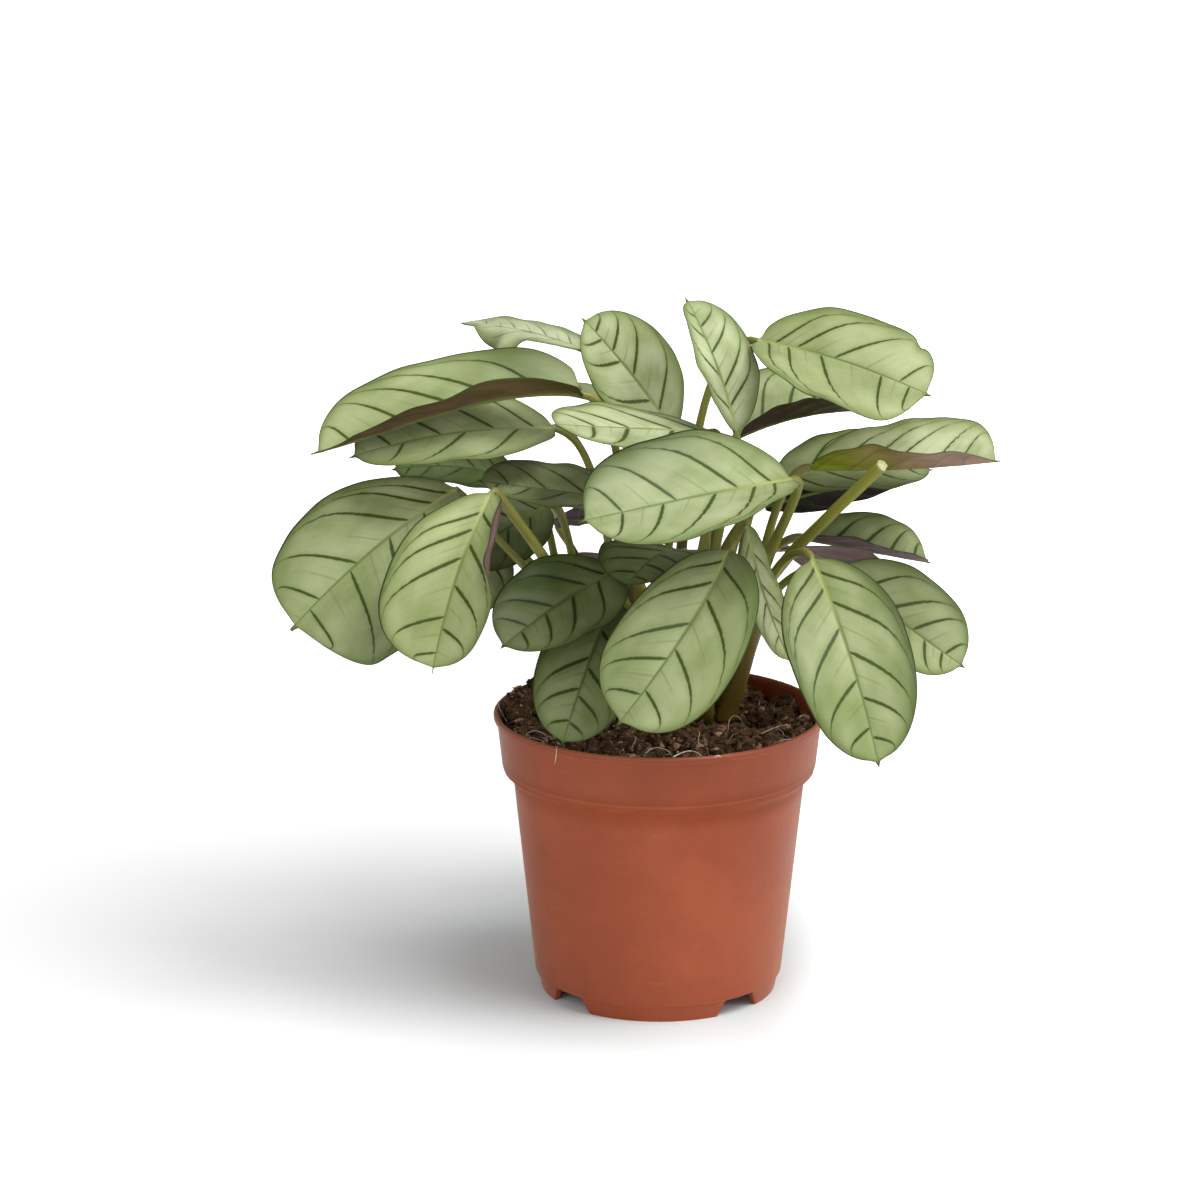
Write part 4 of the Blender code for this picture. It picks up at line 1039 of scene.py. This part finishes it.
class CTENANTHE_OT_fill_soil(bpy.types.Operator):
    """Fill the pot with crumbly peat, pale root fibres and white grit"""
    bl_idname = "ctenanthe.fill_soil"
    bl_label = "Fill Soil"

    def execute(self, context):
        look = context.scene.ctenanthe_soil
        noise.seed_set(SOIL_SEED)
        self.bed(look)
        rng = random.Random(SOIL_SEED)
        pale = grain_finish("pale_crumb", look.pale, look.dry, 600.0, 0.8)
        grit = grain_finish("white_grit", look.grit_colour, look.dry, 900.0, 0.8)
        for name, number, sizes, material, sink in (
                ("soil_crumbs", look.crumbs, (0.6, 3.6), soil_finish(look, "crumb"), 0.7),
                ("soil_pale_crumbs", look.crumbs // 4, (0.4, 2.1), pale, 0.4),
                ("soil_grit", look.grit, (0.3, 1.1), grit, 0.2)):
            self.scatter_lumps(name, number, sizes, material, rng, sink)
        root = grain_finish("root_fibre", look.fibre, look.pale, 500.0, 0.6)
        brown = grain_finish("peat_fibre", look.pale, look.peat, 300.0, 0.85)
        loose = [self.loose_path(rng, (5.0, 13.0), 2.6) for _ in range(look.fibres // 5)]
        self.strands("root_fibres", loose, 0.16, root)
        self.strands("long_roots", [self.set_path(points) for points in ROOTS], 0.22, root)
        short = [self.loose_path(rng, (2.0, 7.0), 1.4) for _ in range(look.fibres * 4)]
        self.strands("peat_fibres", short, 0.13, brown)
        return {"FINISHED"}

    def bed(self, look):
        """The soil itself: a rough top on a plain tapering block."""
        rings, count = BED_RINGS, BED_SIDES
        angles = [2.0 * math.pi * slot / count for slot in range(count)]
        points = [(0.0, 0.0, soil_height(0.0, 0.0))]
        for ring in range(1, rings + 1):
            r = SOIL_RADIUS * ring / rings
            places = [(r * math.cos(a), r * math.sin(a)) for a in angles]
            points += [(x, y, soil_height(x, y)) for x, y in places]
        for r, z in SOIL_TAPER:
            points += [(r * math.cos(a), r * math.sin(a), z) for a in angles]
        points.append((0.0, 0.0, SOIL_LOW))
        last = len(points) - 1
        faces = fan(range(1, 1 + count), 0) + fan(range(last - count, last), last, True)
        faces += [(a, d, c, b) for a, b, c, d in quad_faces(rings + 3, count, 1)]
        rise = [min(max((soil_lumps(x, y) + 3.0) / 6.0, 0.0), 1.0) for x, y, _ in points]
        rises = [(rise[index], 0.0, 0.0) for face in faces for index in face]
        mesh = mesh_from("soil_bed", to_frame(points), faces, [soil_finish(look)], rise=rises)
        add_piece("soil_bed", mesh, "soil")

    def spot(self, rng, reach):
        r, angle = reach * math.sqrt(rng.random()), rng.uniform(0.0, 2.0 * math.pi)
        return r * math.cos(angle), r * math.sin(angle)

    def scatter_lumps(self, name, number, sizes, material, rng, sink):
        """Loose angular grains, all in one mesh."""
        seed = bmesh.new()
        bmesh.ops.create_icosphere(seed, subdivisions=2 if number < 100 else 1, radius=1.0)
        base = np.array([tuple(vert.co) for vert in seed.verts])
        base_faces = [[vert.index for vert in face.verts] for face in seed.faces]
        seed.free()
        points, faces = [], []
        for _ in range(number):
            x, y = self.spot(rng, SOIL_RADIUS - 2.0)
            size = sizes[0] + (sizes[1] - sizes[0]) * rng.random() ** 1.7
            offset = Vector((rng.uniform(0, 50), rng.uniform(0, 50), rng.uniform(0, 50)))
            rough = np.array([0.75 + 0.9 * noise.noise(Vector(point) * 1.7 + offset) for point in base])
            shape = base * rough[:, None] * np.array((rng.uniform(0.6, 1.3), rng.uniform(0.6, 1.3),
                                                      rng.uniform(0.5, 0.9))) * size
            turn = np.array(Matrix.Rotation(rng.uniform(0, 6.28), 3, "Z")
                            @ Matrix.Rotation(rng.uniform(-0.7, 0.7), 3, "X"))
            middle = np.array((x, y, soil_height(x, y) + size * (0.9 - sink)))
            start = sum(len(part) for part in points)
            points.append(shape @ turn.T + middle)
            faces += [[start + index for index in face] for face in base_faces]
        mesh = mesh_from(name, to_frame(np.vstack(points)), faces, [material], smooth=False,
                         rise=(CRUMB_RISE, 0.0, 0.0))
        add_piece(name, mesh, "soil")

    def loose_path(self, rng, lengths, lift):
        """A short curve lying on the soil."""
        x, y = self.spot(rng, SOIL_RADIUS - 3.0)
        heading, bend = rng.uniform(0.0, 6.28), rng.uniform(-2.6, 2.6)
        length, arch = rng.uniform(*lengths), rng.uniform(0.2, 1.0) * lift
        path = []
        for step in range(STRAND_STEPS + 1):
            share = step / STRAND_STEPS
            path.append(np.array((x, y, soil_height(x, y) + 0.3 + arch * math.sin(math.pi * share)
                                  + rng.uniform(-0.15, 0.15))))
            heading += bend / STRAND_STEPS
            x += math.cos(heading) * length / STRAND_STEPS
            y += math.sin(heading) * length / STRAND_STEPS
            out = math.hypot(x, y) / (SOIL_RADIUS - 0.6)
            if out > 1.0:
                x, y = x / out, y / out
        return path

    @staticmethod
    def set_path(points):
        """A curve through four set points, kept just above the soil."""
        path = curve_points(np.array(points, float), np.arange(STRAND_STEPS + 1) / STRAND_STEPS)
        for point in path:
            if math.hypot(point[0], point[1]) < SOIL_RADIUS:
                point[2] = max(point[2], soil_height(point[0], point[1]) + 0.2)
        return list(path)

    def strands(self, name, paths, radius, material):
        """Thin curved fibres, all in one mesh."""
        points, faces, steps, sides = [], [], STRAND_STEPS, STRAND_SIDES
        for path in paths:
            frames = carried_frames(path, np.array((0.3, 0.2, 1.0)))
            start = len(points) * (steps + 1) * sides
            points.append(np.vstack([ring_points(point, *pair, radius * (1.0 - 0.6 * k / steps), sides)
                                     for k, (point, pair) in enumerate(zip(path, frames))]))
            end = start + steps * sides
            faces += quad_faces(steps + 1, sides, start)
            faces += [list(range(start + sides - 1, start - 1, -1)), list(range(end, end + sides))]
        mesh = mesh_from(name, to_frame(np.vstack(points)), faces, [material])
        add_piece(name, mesh, "soil")


class CTENANTHE_OT_set_stage(bpy.types.Operator):
    """Set the floor, the lamps and the camera"""
    bl_idname = "ctenanthe.set_stage"
    bl_label = "Set Stage"

    def execute(self, context):
        look = context.scene.ctenanthe_stage
        self.floor(look)
        for name, share, size, offset in LAMPS:
            self.lamp(name, look.key * share, size, offset)
        self.light(context, look)
        self.camera(context)
        context.scene.view_settings.view_transform = "Standard"
        return {"FINISHED"}

    def floor(self, look):
        """A plain floor that keeps the plant's shadow, lightened with painted light, and turns white around
        it.
        """
        corners = [(x * FLOOR_REACH, y * FLOOR_REACH, 0.0) for x, y in ((-1, -1), (1, -1), (1, 1), (-1, 1))]
        mesh = mesh_from("floor", corners, [(0, 1, 2, 3)], [])
        finish = Finish("studio_floor", 0.9)
        place = finish.place()
        far = finish.node("ShaderNodeVectorMath", (place, tuple(POT_AXIS + Vector(SHADOW_OFFSET))), "Value",
                          operation="DISTANCE")
        # Painted light: near the pot the floor is tinted cyan to cancel the red light the pot throws onto it.
        tint = finish.mix(finish.step(far, 0.05, 0.16, 1.0, 0.0), (1.0, 1.0, 1.0), (0.965, 1.055, 1.06))
        finish.set("Base Color", finish.mix(1.0, tuple(look.floor), tint, "MULTIPLY"))
        # Camera-only glow: far off it whitens the floor into the backdrop; nearer, it is painted light that
        # lightens the shadow away from its middle and to the right of the pot.
        backdrop_and_painted_light = finish.step(far, 0.040, 0.155, 0.0, 0.28) + finish.step(far, 0.26, 0.8, 0.0, 0.72)
        backdrop_and_painted_light = backdrop_and_painted_light + finish.step(finish.split(place)[0] - POT_AXIS.x, 0.034, 0.078, 0.0, 0.42)
        seen = finish.node("ShaderNodeLightPath", output="Is Camera Ray")
        finish.set("Emission Color", (1.0, 1.0, 1.0))
        finish.set("Emission Strength", seen * backdrop_and_painted_light)
        finish.set("Specular IOR Level", 0.0)
        mesh.materials.append(finish.material)
        floor = link("floor", mesh)

    def light(self, context, look):
        """Even light from all around, in front of a white backdrop."""
        world = bpy.data.worlds.new("studio")
        world.use_nodes = True
        tree = world.node_tree
        back = tree.nodes["Background"]
        path = tree.nodes.new("ShaderNodeLightPath")
        mix = tree.nodes.new("ShaderNodeMix")
        mix.data_type = "FLOAT"
        tree.links.new(path.outputs["Is Camera Ray"], mix.inputs[0])
        mix.inputs[2].default_value = look.fill
        mix.inputs[3].default_value = 1.0
        tree.links.new(mix.outputs[0], back.inputs["Strength"])
        back.inputs["Color"].default_value = (1.0, 1.0, 1.0, 1.0)
        context.scene.world = world

    def lamp(self, name, power, size, offset):
        data = bpy.data.lights.new(name, "AREA")
        data.shape, data.size, data.energy = "DISK", size, power
        lamp = link(name, data)
        lamp.location = POT_AXIS + Vector(offset)
        target = POT_AXIS + Vector(LAMP_TARGET)
        lamp.rotation_euler = (target - lamp.location).to_track_quat("-Z", "Y").to_euler()

    def camera(self, context):
        data = bpy.data.cameras.new("camera")
        data.sensor_width, data.lens, data.clip_end = 36.0, CAMERA_LENS, 50.0
        camera = link("camera", data)
        camera.location = POT_AXIS + Vector(CAMERA_OFFSET)
        camera.rotation_euler = (math.radians(CAMERA_TILT), 0.0, 0.0)
        context.scene.camera = camera


class CTENANTHE_PT_panel(bpy.types.Panel):
    """Settings and steps for the potted ctenanthe"""
    bl_idname = "CTENANTHE_PT_panel"
    bl_label = "Potted Ctenanthe"
    bl_space_type = "VIEW_3D"
    bl_region_type = "UI"
    bl_category = "Ctenanthe"

    def draw(self, context):
        for key, settings, step in STEPS:
            box = self.layout.box()
            for setting in settings.__annotations__:
                box.prop(getattr(context.scene, key), setting)
            box.operator(step.bl_idname)


STEPS = (                     # where the scene keeps the settings, the settings, the step
    ("ctenanthe_pot", CtenanthePotSettings, CTENANTHE_OT_mould_pot),
    ("ctenanthe_soil", CtenantheSoilSettings, CTENANTHE_OT_fill_soil),
    ("ctenanthe_leaf", CtenantheLeafSettings, CTENANTHE_OT_grow_leaves),
    ("ctenanthe_stalk", CtenantheStalkSettings, CTENANTHE_OT_grow_shoots),
    ("ctenanthe_stage", CtenantheStageSettings, CTENANTHE_OT_set_stage),
)
CLASSES = [settings for _, settings, _ in STEPS] + [step for _, _, step in STEPS] + [CTENANTHE_PT_panel]


def register():
    for made in CLASSES:
        bpy.utils.register_class(made)
    for key, settings, _ in STEPS:
        setattr(bpy.types.Scene, key, PointerProperty(type=settings))


def unregister():
    for key, _, _ in STEPS:
        delattr(bpy.types.Scene, key)
    for made in reversed(CLASSES):
        bpy.utils.unregister_class(made)


def main():
    register()
    for _, _, step in STEPS:
        getattr(bpy.ops.ctenanthe, step.bl_idname.split(".")[1])()


if __name__ == "__main__":
    main()
